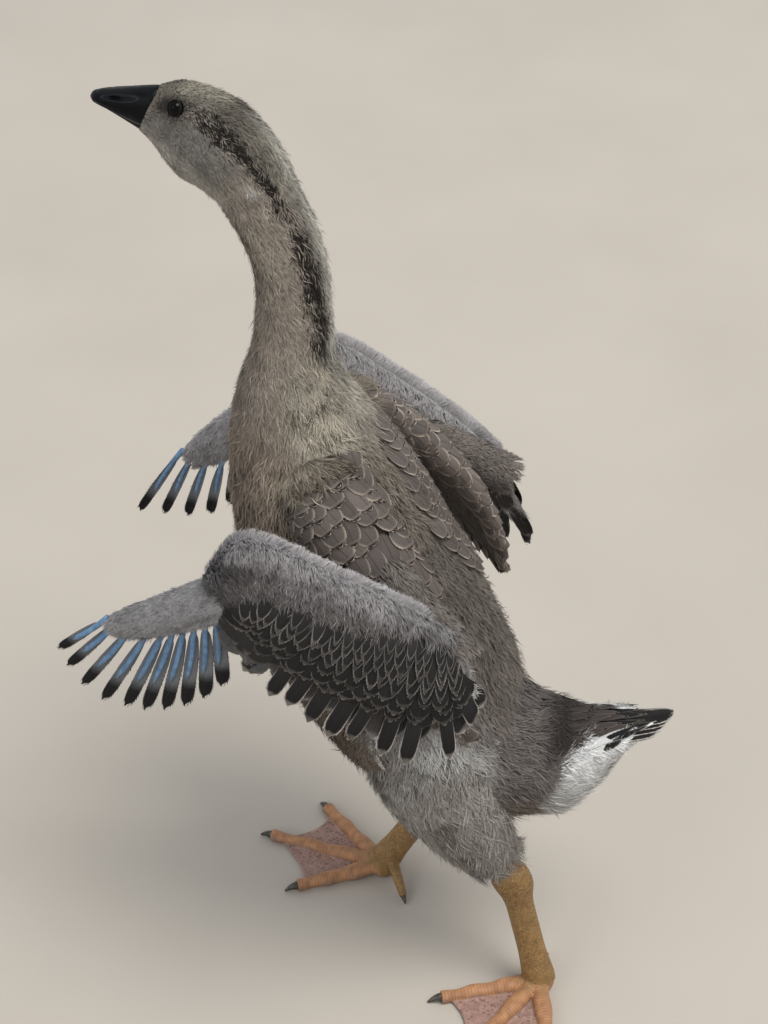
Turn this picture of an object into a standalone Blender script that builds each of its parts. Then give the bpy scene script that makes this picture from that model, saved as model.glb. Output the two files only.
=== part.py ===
# Domestic goose, young bird of the Chinese type, standing mid-stride with both
# wings half opened forward.  Still, life-size museum model.
# Frame: the bird faces -Y, its left side is +X, +Z is up, the floor is z = 0.
import bpy
import bmesh
import math
import numpy as np
from mathutils import Vector, Matrix

for _o in list(bpy.data.objects):
    bpy.data.objects.remove(_o, do_unlink=True)
for _m in list(bpy.data.meshes):
    bpy.data.meshes.remove(_m)

# ------------------------------------------------------------------ dimensions
GAP = 0.0003             # clear gap left between neighbouring pieces
BODY_GAP = 0.0005        # the same where a limb meets the faceted trunk
SHIFT_X = 0.0048         # puts the origin at the bottom centre of the whole bird
SHIFT_Y = -0.0008

SEG_BODY = 22            # points round head, neck and trunk
EYE_RADIUS = 0.0060
EYE_CENTRE = (0.0126, -0.1335, 0.7135)

BILL_TIP = (-0.1939, 0.7115)     # y, z of the nail's tip
GAPE_DROP = 0.40                 # share of the bill's depth below the gape line

# Head-to-tail stations, one ring each:
# y, z, dip of the axis below +Y (degrees), depth above, depth below, half width
STATIONS = [
    # head, from the bill's base back over the crown
    (-0.1553, 0.7062, 25, 0.0172, 0.0172, 0.0125),
    (-0.1427, 0.7044, 28, 0.0235, 0.0250, 0.0170),
    (-0.1278, 0.6956, 34, 0.0300, 0.0320, 0.0203),
    (-0.1145, 0.6857, 41, 0.0335, 0.0350, 0.0218),
    (-0.1015, 0.6733, 48, 0.0320, 0.0310, 0.0222),
    (-0.0909, 0.6600, 56, 0.0288, 0.0275, 0.0222),
    # neck
    (-0.0820, 0.6425, 63, 0.0258, 0.0252, 0.0226),
    (-0.0737, 0.6240, 72, 0.0248, 0.0245, 0.0230),
    (-0.0672, 0.6045, 80, 0.0243, 0.0243, 0.0232),
    (-0.0645, 0.5839, 87, 0.0243, 0.0243, 0.0236),
    (-0.0637, 0.5639, 91, 0.0250, 0.0252, 0.0245),
    (-0.0642, 0.5439, 92, 0.0262, 0.0266, 0.0258),
    (-0.0647, 0.5270, 91, 0.0292, 0.0302, 0.0290),
    (-0.0641, 0.5085, 88, 0.0355, 0.0372, 0.0355),
    (-0.0611, 0.4856, 83, 0.0450, 0.0465, 0.0445),
    # trunk
    (-0.0532, 0.4476, 75, 0.0580, 0.0595, 0.0565),
    (-0.0408, 0.4055, 69, 0.0690, 0.0710, 0.0680),
    (-0.0237, 0.3537, 66, 0.0770, 0.0790, 0.0765),
    (-0.0010, 0.3000, 60, 0.0830, 0.0830, 0.0810),
    (0.0250, 0.2540, 50, 0.0800, 0.0800, 0.0810),
    (0.0530, 0.2200, 38, 0.0730, 0.0690, 0.0750),
    (0.0810, 0.2035, 20, 0.0600, 0.0620, 0.0640),
    (0.1050, 0.2000, 0, 0.0460, 0.0600, 0.0540),
    # rump and tail coverts
    (0.1280, 0.2010, -12, 0.0340, 0.0540, 0.0450),
    (0.1500, 0.2080, -20, 0.0220, 0.0380, 0.0355),
    (0.1730, 0.2200, -25, 0.0130, 0.0190, 0.0255),
    (0.1930, 0.2300, -25, 0.0045, 0.0075, 0.0140),
]
HEAD_END = 5.0           # station where head meets neck
NECK_END = 14.0          # station where neck meets trunk
TRUNK_END = 22.4         # station where trunk meets the tail's base

# Legs: ball of the foot, hock, knee, top of the feathered thigh (left, right)
LEGS = {
    "L": dict(ball=(0.062, 0.134, 0.0125), hock=(0.052, 0.109, 0.107),
              knee=(0.053, 0.046, 0.182), hip=(0.034, 0.028, 0.240),
              toes=dict(II=(21, 0.078), III=(61, 0.098), IV=(104, 0.088)),
              hallux=(262, 0.030)),
    "R": dict(ball=(-0.044, -0.008, 0.0125), hock=(-0.047, 0.040, 0.097),
              knee=(-0.053, -0.010, 0.168), hip=(-0.034, 0.010, 0.235),
              toes=dict(II=(27, 0.074), III=(-12, 0.101), IV=(-46, 0.086)),
              hallux=(118, 0.036)),
}
TARSUS_WIDE = 0.0096     # half width of the shank at its narrowest
TARSUS_DEEP = 0.0108
HOCK_RADIUS = 0.0158
TOE_RADIUS = 0.0076      # at the ball; the tips have 0.62 of it
WEB_THICK = 0.0018
CLAW_LENGTH = 0.0105

# Wings, left side; y and z, with x its distance from the mid plane
SHOULDER = (0.050, -0.032, 0.443)
ELBOW = (0.110, 0.070, 0.368)
WRIST = (0.128, -0.102, 0.430)
# Elbow to wrist in eighths: how far the leading edge is raised, and how far the
# feathers reach below it
FOREARM_LIFT = [(0.010,), (0.017,), (0.021,), (0.024,), (0.027,), (0.031,), (0.032,),
                (0.022,), (-0.012,)]
FOREARM_SAG = {"L": 0.0, "R": 0.0035}
FOREARM_REACH = {
    "L": [(0.060,), (0.100,), (0.110,), (0.111,), (0.109,), (0.104,), (0.096,),
          (0.074,), (0.028,)],
    "R": [(0.085,), (0.120,), (0.116,), (0.111,), (0.109,), (0.104,), (0.096,),
          (0.074,), (0.028,)],
}
HAND_ROOT = {"L": (0.130, -0.082, 0.415), "R": (0.129, -0.084, 0.405)}
HAND_END = {"L": (0.132, -0.168, 0.376), "R": (0.130, -0.178, 0.336)}
FAN_TURN = {"L": 0.0, "R": 19.0}   # the right fan hangs a little steeper
HAND_RISE = {"L": -0.0030, "R": 0.0030}    # bow of the hand's middle
HAND_PLUMP = {"L": 0.94, "R": 1.16}        # the right hand's down stands fuller
HAND_PROFILE = (  # half height and half thickness, wrist to end
    (0.0170, 0.0110), (0.0182, 0.0116), (0.0180, 0.0110), (0.0172, 0.0098),
    (0.0162, 0.0084), (0.0146, 0.0070), (0.0122, 0.0056), (0.0080, 0.0036))
PRIMARIES = 10
SECONDARIES = 12
RECTRICES = 7

# ------------------------------------------------------------------ collections
parts = bpy.data.collections.new("domestic_goose")
cutters = bpy.data.collections.new("cutters")
bpy.context.scene.collection.children.link(parts)
bpy.context.scene.collection.children.link(cutters)

PALETTE = {
    "down_neck": (0.30, 0.245, 0.19, 1), "down_trunk": (0.20, 0.165, 0.13, 1),
    "feather_dark": (0.060, 0.050, 0.044, 1), "feather_grey": (0.17, 0.15, 0.135, 1),
    "quill_blue": (0.12, 0.20, 0.29, 1), "bill_black": (0.018, 0.018, 0.02, 1),
    "eye_dark": (0.012, 0.008, 0.006, 1), "leg_ochre": (0.45, 0.22, 0.07, 1),
    "claw_horn": (0.03, 0.027, 0.025, 1),
}
ROUGH = {"eye_dark": 0.06, "bill_black": 0.38, "leg_ochre": 0.55, "claw_horn": 0.4,
         "quill_blue": 0.45}


def material(node, base):
    m = bpy.data.materials.new(node + "_mat")
    m.use_nodes = True
    b = m.node_tree.nodes["Principled BSDF"]
    b.inputs["Base Color"].default_value = PALETTE[base]
    b.inputs["Roughness"].default_value = ROUGH.get(base, 0.85)
    m.diffuse_color = PALETTE[base]
    return m


def finish_mesh(name, bm, base=None, cutter=False):
    """Turn a bmesh into a named, smooth-shaded object facing outwards."""
    bmesh.ops.remove_doubles(bm, verts=bm.verts, dist=1e-7)
    bmesh.ops.recalc_face_normals(bm, faces=bm.faces)
    me = bpy.data.meshes.new(name)
    bm.to_mesh(me)
    bm.free()
    for p in me.polygons:
        p.use_smooth = True
    ob = bpy.data.objects.new(name, me)
    if cutter:
        cutters.objects.link(ob)
        ob.hide_render = True
        ob.display_type = "WIRE"
    else:
        parts.objects.link(ob)
        me.materials.append(material(name, base))
    return ob


def loft_bm(rings, bm=None):
    """Closed body through a list of rings with the same number of points."""
    bm = bm or bmesh.new()
    rows = [[bm.verts.new(Vector(p)) for p in r] for r in rings]
    n = len(rows[0])
    for a, b in zip(rows[:-1], rows[1:]):
        for i in range(n):
            j = (i + 1) % n
            bm.faces.new((a[i], a[j], b[j], b[i]))
    bm.faces.new(list(reversed(rows[0])))
    bm.faces.new(rows[-1])
    return bm


def difference(ob, cutter):
    m = ob.modifiers.new("cut_" + cutter.name, "BOOLEAN")
    m.operation = "DIFFERENCE"
    m.solver = "EXACT"
    m.object = cutter


def union(ob, other):
    m = ob.modifiers.new("join_" + other.name, "BOOLEAN")
    m.operation = "UNION"
    m.solver = "EXACT"
    m.object = other


# ------------------------------------------------------------------ body
def catmull(table, s):
    """Smooth value of every column of a station table at the place s."""
    t = np.asarray(table, float)
    s = min(max(s, 0.0), len(t) - 1.0)
    i = min(int(s), len(t) - 2)
    f = s - i
    p1, p2 = t[i], t[i + 1]
    p0 = t[i - 1] if i > 0 else 2 * p1 - p2
    p3 = t[i + 2] if i + 2 < len(t) else 2 * p2 - p1
    return 0.5 * (2 * p1 + (p2 - p0) * f + (2 * p0 - 5 * p1 + 4 * p2 - p3) * f ** 2
                  + (3 * p1 - p0 - 3 * p2 + p3) * f ** 3)


def body_ring(s, n=SEG_BODY, grow=0.0):
    """Ring of the body at station s; the first point lies on the back's mid line."""
    y, z, dip, up, down, wide = catmull(STATIONS, s)
    d = math.radians(dip)
    m = Vector((0.0, math.sin(d), math.cos(d)))
    pts = []
    for k in range(n):
        a = 2 * math.pi * k / n
        h = (up if math.cos(a) > 0 else down) + grow
        pts.append(Vector((0.0, y, z)) + m * (h * math.cos(a))
                   + Vector(((wide + grow) * math.sin(a), 0, 0)))
    return pts


def body_piece(name, s0, s1, count, base=None, grow=0.0, cutter=False, gap0=0.0, gap1=0.0):
    rings = [body_ring(s0 + (s1 - s0) * k / (count - 1), grow=grow) for k in range(count)]
    for idx, g in ((0, gap0), (-1, gap1)):
        if g:
            y, z, dip = catmull(STATIONS, s0 if idx == 0 else s1)[:3]
            d = math.radians(dip)
            t = Vector((0.0, math.cos(d), -math.sin(d))) * g
            rings[idx] = [p + t for p in rings[idx]]
    return finish_mesh(name, loft_bm(rings), base, cutter)


LAST = len(STATIONS) - 1.0
head = body_piece("head", 0.0, HEAD_END, 12, "down_neck", gap1=-GAP / 2)
neck = body_piece("neck", HEAD_END, NECK_END, 13, "down_neck", gap0=GAP / 2, gap1=-GAP / 2)
trunk = body_piece("trunk", NECK_END, TRUNK_END, 13, "down_trunk", gap0=GAP / 2, gap1=-GAP / 2)
tail = body_piece("tail", TRUNK_END, LAST, 6, "down_trunk", gap0=GAP / 2)
neck_cut = body_piece("neck_grown", HEAD_END, NECK_END, 13, grow=BODY_GAP, cutter=True,
                      gap0=-GAP, gap1=GAP)
trunk_cut = body_piece("trunk_grown", NECK_END, TRUNK_END, 13, grow=BODY_GAP, cutter=True,
                       gap0=-GAP, gap1=GAP)
tail_cut = body_piece("tail_grown", TRUNK_END, LAST, 6, grow=BODY_GAP, cutter=True, gap0=-GAP)

# ------------------------------------------------------------------ eyes
for side, sx in (("L", 1), ("R", -1)):
    for nm, rad, cut in (("eye_" + side, EYE_RADIUS, False),
                         ("eye_socket_" + side, EYE_RADIUS + GAP, True)):
        bm = bmesh.new()
        bmesh.ops.create_icosphere(bm, subdivisions=2, radius=rad)
        bmesh.ops.translate(bm, verts=bm.verts,
                            vec=Vector((sx * EYE_CENTRE[0], EYE_CENTRE[1], EYE_CENTRE[2])))
        o = finish_mesh(nm, bm, "eye_dark", cut)
        if cut:
            difference(head, o)

# ------------------------------------------------------------------ bill
# y, z, dip, depth above, depth below, half width, from the base to the nail
y0, z0 = STATIONS[0][0], STATIONS[0][1]
BILL = [
    (y0, z0, 25, 0.0166, 0.0166, 0.0118),
    (-0.1640, 0.7082, 19, 0.0122, 0.0138, 0.0112),
    (-0.1730, 0.7098, 13, 0.0082, 0.0106, 0.0103),
    (-0.1810, 0.7108, 8, 0.0057, 0.0074, 0.0092),
    (-0.1875, 0.7112, 3, 0.0043, 0.0048, 0.0074),
    (-0.1918, 0.7110, -6, 0.0030, 0.0032, 0.0046),
    (BILL_TIP[0], BILL_TIP[1] - 0.0008, -12, 0.0011, 0.0012, 0.0015),
]


def bill_bm():
    rings = []
    count = 10
    for k in range(count):
        s = (len(BILL) - 1.0) * k / (count - 1)
        y, z, dip, up, down, wide = catmull(BILL, s)
        if k == 0:
            y, z = y - GAP * math.cos(math.radians(dip)), z + GAP * math.sin(math.radians(dip))
        d = math.radians(dip)
        m = Vector((0.0, math.sin(d), math.cos(d)))
        ring = []
        for i in range(16):
            a = 2 * math.pi * i / 16
            c, sn = math.cos(a), math.sin(a)
            flat = 0.80 if c > 0 else 1.0
            ring.append(Vector((0, y, z)) + m * ((up if c > 0 else down) * c)
                        + Vector((wide * math.copysign(abs(sn) ** flat, sn), 0, 0)))
        rings.append(ring)
    return loft_bm(rings)


def gape_plane(offset):
    """Plane that parts the bill: from low on the base to the nail's tip."""
    d = math.radians(BILL[0][2])
    base = Vector((0, y0, z0)) - Vector((0, math.sin(d), math.cos(d))) * (
        (1 - 2 * GAPE_DROP) * BILL[0][4] + 0.0035)
    tip = Vector((0, BILL_TIP[0], BILL_TIP[1] - 0.0016))
    along = (tip - base).normalized()
    nrm = Vector((0, along.z, -along.y))
    if nrm.z < 0:
        nrm = -nrm
    return base + nrm * offset, nrm


for nm, off, keep_up in (("bill_upper", GAP / 2, True), ("bill_lower", -GAP / 2, False)):
    bm = bill_bm()
    co, no = gape_plane(off)
    res = bmesh.ops.bisect_plane(bm, geom=bm.verts[:] + bm.edges[:] + bm.faces[:],
                                 plane_co=co, plane_no=no, dist=1e-7,
                                 clear_inner=keep_up, clear_outer=not keep_up)
    edges = [e for e in res["geom_cut"] if isinstance(e, bmesh.types.BMEdge)]
    bmesh.ops.holes_fill(bm, edges=edges, sides=0)
    finish_mesh(nm, bm, "bill_black")


# ------------------------------------------------------------------ tubes
def frame_along(t, ref):
    t = t.normalized()
    x = (ref - t * ref.dot(t)).normalized()
    return t, x, t.cross(x)


def tube_rings(points, radii, ref, n, bulge=None):
    """Rings round a poly-line; radii are (across ref, across the other way)."""
    pts = [Vector(p) for p in points]
    rings = []
    for i, p in enumerate(pts):
        a = pts[max(i - 1, 0)]
        b = pts[min(i + 1, len(pts) - 1)]
        t, x, w = frame_along(b - a, Vector(ref))
        r = radii[i]
        rings.append([p + x * (r[0] * math.cos(2 * math.pi * k / n))
                      + w * (r[1] * math.sin(2 * math.pi * k / n)) for k in range(n)])
    return rings


def lerp(a, b, f):
    return tuple(a[i] + (b[i] - a[i]) * f for i in range(3))


def bezier(a, b, c, f):
    return tuple((1 - f) ** 2 * a[i] + 2 * f * (1 - f) * b[i] + f * f * c[i] for i in range(3))


# ------------------------------------------------------------------ legs
def thigh_rings(leg, grow=0.0):
    hip, knee, hock = leg["hip"], leg["knee"], leg["hock"]
    end = lerp(hock, knee, 0.02)
    pts, rad = [], []
    prof = (0.030, 0.040, 0.043, 0.041, 0.036, 0.030, 0.0235, 0.0175)
    for k in range(8):
        f = k / 7
        pts.append(bezier(hip, knee, end, f))
        rad.append((prof[k] * 0.86 + grow, prof[k] * 1.10 + grow))
    return tube_rings(pts, rad, (1, 0, 0), 16)


def shank_rings(leg, f0, f1, count, n=12):
    """Rings of the bare leg; f = 0 inside the thigh, 1 at the ball of the foot."""
    hock, knee, ball = leg["hock"], leg["knee"], leg["ball"]
    top = lerp(hock, knee, 0.24)
    pts, rad = [], []
    for k in range(count):
        f = f0 + (f1 - f0) * k / (count - 1)
        if f < 0.22:
            p = bezier(top, hock, lerp(hock, ball, 0.12), f / 0.22 * 0.5)
        elif f < 0.30:
            p = bezier(top, hock, lerp(hock, ball, 0.12), 0.5 + (f - 0.22) / 0.08 * 0.5)
        else:
            p = lerp(lerp(hock, ball, 0.12), ball, (f - 0.30) / 0.70)
        pts.append(p)
        swell = math.exp(-((f - 0.24) / 0.10) ** 2) * (HOCK_RADIUS - TARSUS_DEEP)
        low = math.exp(-((f - 1.0) / 0.14) ** 2) * 0.0026
        rad.append((TARSUS_WIDE + 0.7 * swell + low, TARSUS_DEEP + swell + low * 0.8))
    return tube_rings(pts, rad, (1, 0, 0), n)


def heading(deg):
    """Direction on the floor: 0 is forward (-Y), positive turns to the bird's left (+X)."""
    a = math.radians(deg)
    return Vector((math.sin(a), -math.cos(a), 0.0))


def toe_points(ball, deg, length, r0, r1, count):
    b = Vector(ball)
    d = heading(deg)
    pts, rad = [], []
    for k in range(count):
        f = k / (count - 1)
        r = r0 + (r1 - r0) * f
        knuckle = 0.0007 * math.cos(2 * math.pi * 3 * f)
        arch = 0.0035 * max(0.0, 1 - f * 3.2)
        p = Vector((b.x, b.y, 0)) + d * (length * f)
        p.z = r * 0.86 + arch
        pts.append(tuple(p))
        rad.append((r + knuckle, (r + knuckle) * 0.95))
    return pts, rad


def toe_rings(ball, deg, length, r0=TOE_RADIUS, r1=TOE_RADIUS * 0.62, count=6, n=8):
    pts, rad = toe_points(ball, deg, length, r0, r1, count)
    side = heading(deg + 90)
    return tube_rings(pts, rad, side, n)


def web_bm(ball, toes):
    """Skin between the three front toes, its free edge hollow between the tips."""
    b = Vector((ball[0], ball[1], 0))
    names = ("II", "III", "IV")
    degs = [toes[n][0] for n in names]
    lens = [toes[n][1] for n in names]
    order = sorted(range(3), key=lambda i: degs[i])
    cols = []
    for a, c in zip(order[:-1], order[1:]):
        for k in range(5):
            f = k / 4
            if cols and k == 0:
                continue
            deg = degs[a] + (degs[c] - degs[a]) * f
            reach = (lens[a] * (1 - f) + lens[c] * f) * 0.93
            reach *= 1 - 0.60 * (f * (1 - f))
            cols.append((deg, reach))
    bm = bmesh.new()
    rows = []
    for deg, reach in cols:
        d = heading(deg)
        rows.append([bm.verts.new(b + d * (reach * q) + Vector((0, 0, 0.0022 + 0.003 * (1 - q))))
                     for q in (0.02, 0.5, 1.0)])
    for a, c in zip(rows[:-1], rows[1:]):
        for i in range(2):
            bm.faces.new((a[i], a[i + 1], c[i + 1], c[i]))
    return bm


def claw_rings(ball, deg, length, r):
    pts = []
    rad = []
    b = Vector((ball[0], ball[1], 0))
    d = heading(deg)
    z0c = r * 0.86
    for k in range(4):
        f = k / 3
        p = b + d * (length + GAP + CLAW_LENGTH * f)
        p.z = z0c + 0.0006 * math.sin(math.pi * f) - (z0c - 0.0011) * f ** 1.6
        pts.append(tuple(p))
        q = r * (0.80 - 0.62 * f)
        rad.append((q, min(q, p.z - 0.0001)))
    return tube_rings(pts, rad, heading(deg + 90), 7)


bm = bmesh.new()
bmesh.ops.create_cube(bm, size=1.0)
bmesh.ops.translate(bm, verts=bm.verts, vec=Vector((0, 0, -0.5)))
floor_block = finish_mesh("floor_block", bm, cutter=True)

for side in ("L", "R"):
    leg = LEGS[side]
    thigh = finish_mesh("leg_%s_thigh" % side, loft_bm(thigh_rings(leg)), "down_trunk")
    difference(thigh, trunk_cut)
    difference(thigh, tail_cut)
    shank = finish_mesh("leg_%s_shank" % side, loft_bm(shank_rings(leg, 0.0, 0.84, 9)),
                        "leg_ochre")
    thigh_cut = finish_mesh("thigh_%s_grown" % side, loft_bm(thigh_rings(leg, GAP)),
                            cutter=True)
    difference(shank, thigh_cut)

    ball = leg["ball"]
    foot = finish_mesh("foot_%s" % side, loft_bm(shank_rings(leg, 0.8435, 1.03, 5)),
                       "leg_ochre")
    toe_obs = []
    for nm, (deg, length) in leg["toes"].items():
        t = finish_mesh("toe_%s_%s" % (side, nm), loft_bm(toe_rings(ball, deg, length)),
                        cutter=True)
        toe_obs.append(t)
        claw = finish_mesh("claw_%s_%s" % (side, nm),
                           loft_bm(claw_rings(ball, deg, length, TOE_RADIUS * 0.62)),
                           "claw_horn")
    hdeg, hlen = leg["hallux"]
    hb = Vector(leg["ball"]) + (Vector(leg["hock"]) - Vector(leg["ball"])).normalized() * 0.010
    hd = heading(hdeg)
    hp = [hb + hd * (hlen * f) + Vector((0, 0, (0.0050 - hb.z) * f ** 1.1)) for f in
          (0.0, 0.35, 0.7, 1.0)]
    hallux = finish_mesh("hallux_" + side, loft_bm(
        tube_rings([tuple(p) for p in hp], [(0.0052, 0.0052), (0.0046, 0.0046),
                                            (0.0040, 0.0040), (0.0032, 0.0032)],
                   heading(hdeg + 90), 10)), cutter=True)
    hdir = (hp[-1] - hp[-2]).normalized()
    cp = [hp[-1] + hdir * GAP, hp[-1] + hdir * 0.003, hp[-1] + hdir * 0.0062]
    cp[2].z = max(cp[2].z, 0.0012)
    finish_mesh("claw_%s_hallux" % side, loft_bm(
        tube_rings([tuple(p) for p in cp], [(0.0027, 0.0027), (0.0019, 0.0019),
                                            (0.0007, 0.0007)], heading(hdeg + 90), 8)),
        "claw_horn")
    web = finish_mesh("web_" + side, web_bm(ball, leg["toes"]), cutter=True)
    mod = web.modifiers.new("thickness", "SOLIDIFY")
    mod.thickness = WEB_THICK
    mod.offset = 0.0
    pad = bmesh.new()
    bmesh.ops.create_uvsphere(pad, u_segments=10, v_segments=6, radius=1.0)
    bmesh.ops.scale(pad, verts=pad.verts, vec=Vector((0.0122, 0.0122, 0.0105)))
    bmesh.ops.translate(pad, verts=pad.verts, vec=Vector((ball[0], ball[1], 0.0082)))
    pad = finish_mesh("ball_" + side, pad, cutter=True)
    for o in toe_obs + [hallux, web, pad]:
        union(foot, o)
    difference(foot, floor_block)


# ------------------------------------------------------------------ wings
def mirror_x(pts, sx):
    return [Vector((p[0] * sx, p[1], p[2])) for p in pts]


def blade_section(origin, chord, normal, length, front, thick, n_side=3):
    """Wing section: round front edge, thin back edge.  chord points to the
    feather tips, normal to the outer face."""
    pts = []
    for a in (90, 130, 180, 230, 270):
        r = math.radians(a)
        pts.append(origin + chord * (front * math.cos(r)) + normal * (thick * math.sin(r)))
    steps = [(k + 1) / (n_side + 1) for k in range(n_side)] + [1.0]
    low = []
    up = []
    for q in steps:
        h = thick * (1 - q) ** 1.35 + 0.0011
        camber = -0.05 * length * math.sin(math.pi * q)
        low.append(origin + chord * (length * q) - normal * (h + camber * 0.6))
        up.append(origin + chord * (length * q) + normal * (h - camber * 0.6))
    return pts + low + list(reversed(up))


def forearm_rings(side, grow=0.0):
    """Fore-arm with its coverts and secondaries, elbow first."""
    e, w = Vector(ELBOW), Vector(WRIST)
    rings = []
    count = SECONDARIES * 2 + 1
    for k in range(count):
        f = k / (count - 1)
        p = e.lerp(w, f) + Vector((0.010 * math.sin(math.pi * f), 0,
                                   catmull(FOREARM_LIFT, 8 * f)[0]
                                   - FOREARM_SAG[side] * math.sin(math.pi * f)))
        near_end = math.sqrt(max(0.0, 1 - (max(0.0, f - 0.84) / 0.16) ** 2))
        back = 0.32 - 0.28 * f
        chord = Vector((0.16, back, -1.0)).normalized()
        normal = Vector((1.0, 0.08, 0.16))
        normal = (normal - chord * normal.dot(chord)).normalized()
        reach = catmull(FOREARM_REACH[side], 8 * f)[0]
        wave = k % 2            # feather tip, then the notch beside it
        reach *= 1 - 0.085 * (1 - wave)
        front = (0.0125 + 0.008 * math.sin(math.pi * f)) * (0.55 + 0.45 * near_end) + grow
        thick = (0.0120 + 0.0035 * math.sin(math.pi * f)) * (0.6 + 0.4 * near_end) + grow
        rings.append(mirror_x(blade_section(p, chord, normal, reach + grow, front, thick),
                              1 if side == "L" else -1))
    return rings


def hand_rings(side, grow=0.0, count=8):
    w, h = Vector(HAND_ROOT[side]), Vector(HAND_END[side])
    prof, plump = HAND_PROFILE, HAND_PLUMP[side]
    pts, rad = [], []
    for k in range(count):
        f = k / (count - 1)
        p = w.lerp(h, f)
        p.z += HAND_RISE[side] * math.sin(math.pi * f)
        pts.append(tuple(p))
        rad.append((prof[k][1] + grow, prof[k][0] * plump + grow))
    return [mirror_x(r, 1 if side == "L" else -1) for r in tube_rings(pts, rad, (1, 0, 0), 10)]


def upper_rings(side, grow=0.0):
    s, e = Vector(SHOULDER), Vector(ELBOW)
    pts, rad = [], []
    for k in range(7):
        f = k / 6
        p = s.lerp(e + (e - s).normalized() * 0.004, f)
        p.x += 0.006 * math.sin(math.pi * f)
        pts.append(tuple(p))
        r = 0.0200 - 0.004 * f - (0.004 if k == 6 else 0)
        rad.append((r * 0.85 + grow, r * 1.05 + grow))
    return [mirror_x(r, 1 if side == "L" else -1) for r in tube_rings(pts, rad, (1, 0, 0), 14)]


def scapular_rings(side, grow=0.0):
    """The cape of shoulder feathers, from the shoulder to its free tip."""
    ctrl = [  # x, y, z, half breadth, half thickness
        (0.0470, -0.050, 0.464, 0.016, 0.009),
        (0.0620, -0.030, 0.448, 0.028, 0.015),
        (0.0750, -0.004, 0.420, 0.032, 0.016),
        (0.0860, 0.022, 0.386, 0.032, 0.014),
        (0.0940, 0.046, 0.348, 0.027, 0.009),
        (0.0985, 0.062, 0.314, 0.019, 0.005),
        (0.1005, 0.072, 0.291, 0.006, 0.0018),
    ]
    rings = []
    for k in range(9):
        x, y, z, wide, th = catmull(ctrl, 6.0 * k / 8)
        t = Vector(catmull(ctrl, min(6.0, 6.0 * k / 8 + 0.1))[:3]) - Vector(
            catmull(ctrl, max(0.0, 6.0 * k / 8 - 0.1))[:3])
        t.normalize()
        out = Vector((0.80, 0.42, 0.42))
        out = (out - t * out.dot(t)).normalized()
        across = t.cross(out)
        rings.append(mirror_x([Vector((x, y, z)) + across * ((wide + grow) * math.cos(a))
                               + out * ((th + grow) * math.sin(a))
                               for a in [2 * math.pi * i / 12 for i in range(12)]],
                              1 if side == "L" else -1))
    return rings


def comb(name, base, roots, dirs, lengths, quill, vane, flat, thick, base_depth,
         grow=0.0, cutter=False):
    """A fan of blades on one base strip, made solid.  roots run along the fan,
    quill and vane are half widths, flat is the normal of the fan's sheet."""
    bm = bmesh.new()
    rows = []
    for root, d, length, wide in zip(roots, dirs, lengths, vane):
        d = d.normalized()
        side = flat.cross(d).normalized()
        left, right = [], []
        for q, w in ((-base_depth - grow, quill), (grow, quill), (0.50 * length, quill * 1.2),
                     (0.74 * length, wide), (0.92 * length, wide * 0.72)):
            c = root + d * q
            left.append(bm.verts.new(c - side * (w + grow)))
            right.append(bm.verts.new(c + side * (w + grow)))
        tip = bm.verts.new(root + d * (length + grow))
        for k in range(len(left) - 1):
            bm.faces.new((left[k], right[k], right[k + 1], left[k + 1]))
        bm.faces.new((left[-1], right[-1], tip))
        rows.append((left, right))
    for (l0, r0), (l1, r1) in zip(rows[:-1], rows[1:]):
        a, b = r0, l1
        if (r0[0].co - l1[0].co).length > (l0[0].co - r1[0].co).length:
            a, b = l0, r1
        bm.faces.new((a[0], b[0], b[1], a[1]))
    ob = finish_mesh(name, bm, base, cutter)
    mod = ob.modifiers.new("thickness", "SOLIDIFY")
    mod.thickness = thick + 2 * grow
    mod.offset = 0.0
    return ob


def primaries(side):
    sx = 1 if side == "L" else -1
    w, h = Vector(HAND_ROOT[side]), Vector(HAND_END[side])
    roots, dirs, lengths, widths = [], [], [], []
    axis = (h - w).normalized()
    under = Vector((0.0, -axis.z, axis.y)).normalized()
    for i in range(PRIMARIES):
        f = i / (PRIMARIES - 1)                 # 0 outermost, 1 innermost
        place = 1.0 - 0.75 * f ** 1.15 + (0.02 if i == 0 else 0.0)
        down = catmull(HAND_PROFILE, 7 * min(1.0, place))[0] * HAND_PLUMP[side]
        down -= HAND_RISE[side] * math.sin(math.pi * min(1.0, place))
        share = (-0.62, 0.0, 0.60, 0.95)[i] if i < 4 else 1.0
        p = w.lerp(h, place) + under * (down * share + 0.0040 * min(1.0, i / 3.0))
        if i < 4:
            p += axis * (0.0060, 0.0066, 0.0064, 0.0044)[i]
        a = math.radians(-40 - 52 * f ** 0.85 - FAN_TURN[side] * (1 - 0.4 * f))
        d = Vector((0.03, -math.cos(a), math.sin(a)))
        roots.append(Vector((p.x * sx, p.y, p.z)))
        dirs.append(Vector((d.x * sx, d.y, d.z)))
        if side == "L":
            lengths.append(0.038 + 0.110 * f - 0.098 * f * f)
        else:
            lengths.append(max(0.042, 0.064 - 0.044 * f))
        widths.append(0.0040 + 0.0008 * f)
    shape = ("quill_blue", roots, dirs, lengths, 0.0018, widths, Vector((1, 0, 0)), 0.0016,
             0.0060)
    comb("wing_%s_primaries" % side, *shape)
    return comb("primaries_%s_grown" % side, *shape, grow=GAP, cutter=True)


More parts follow.
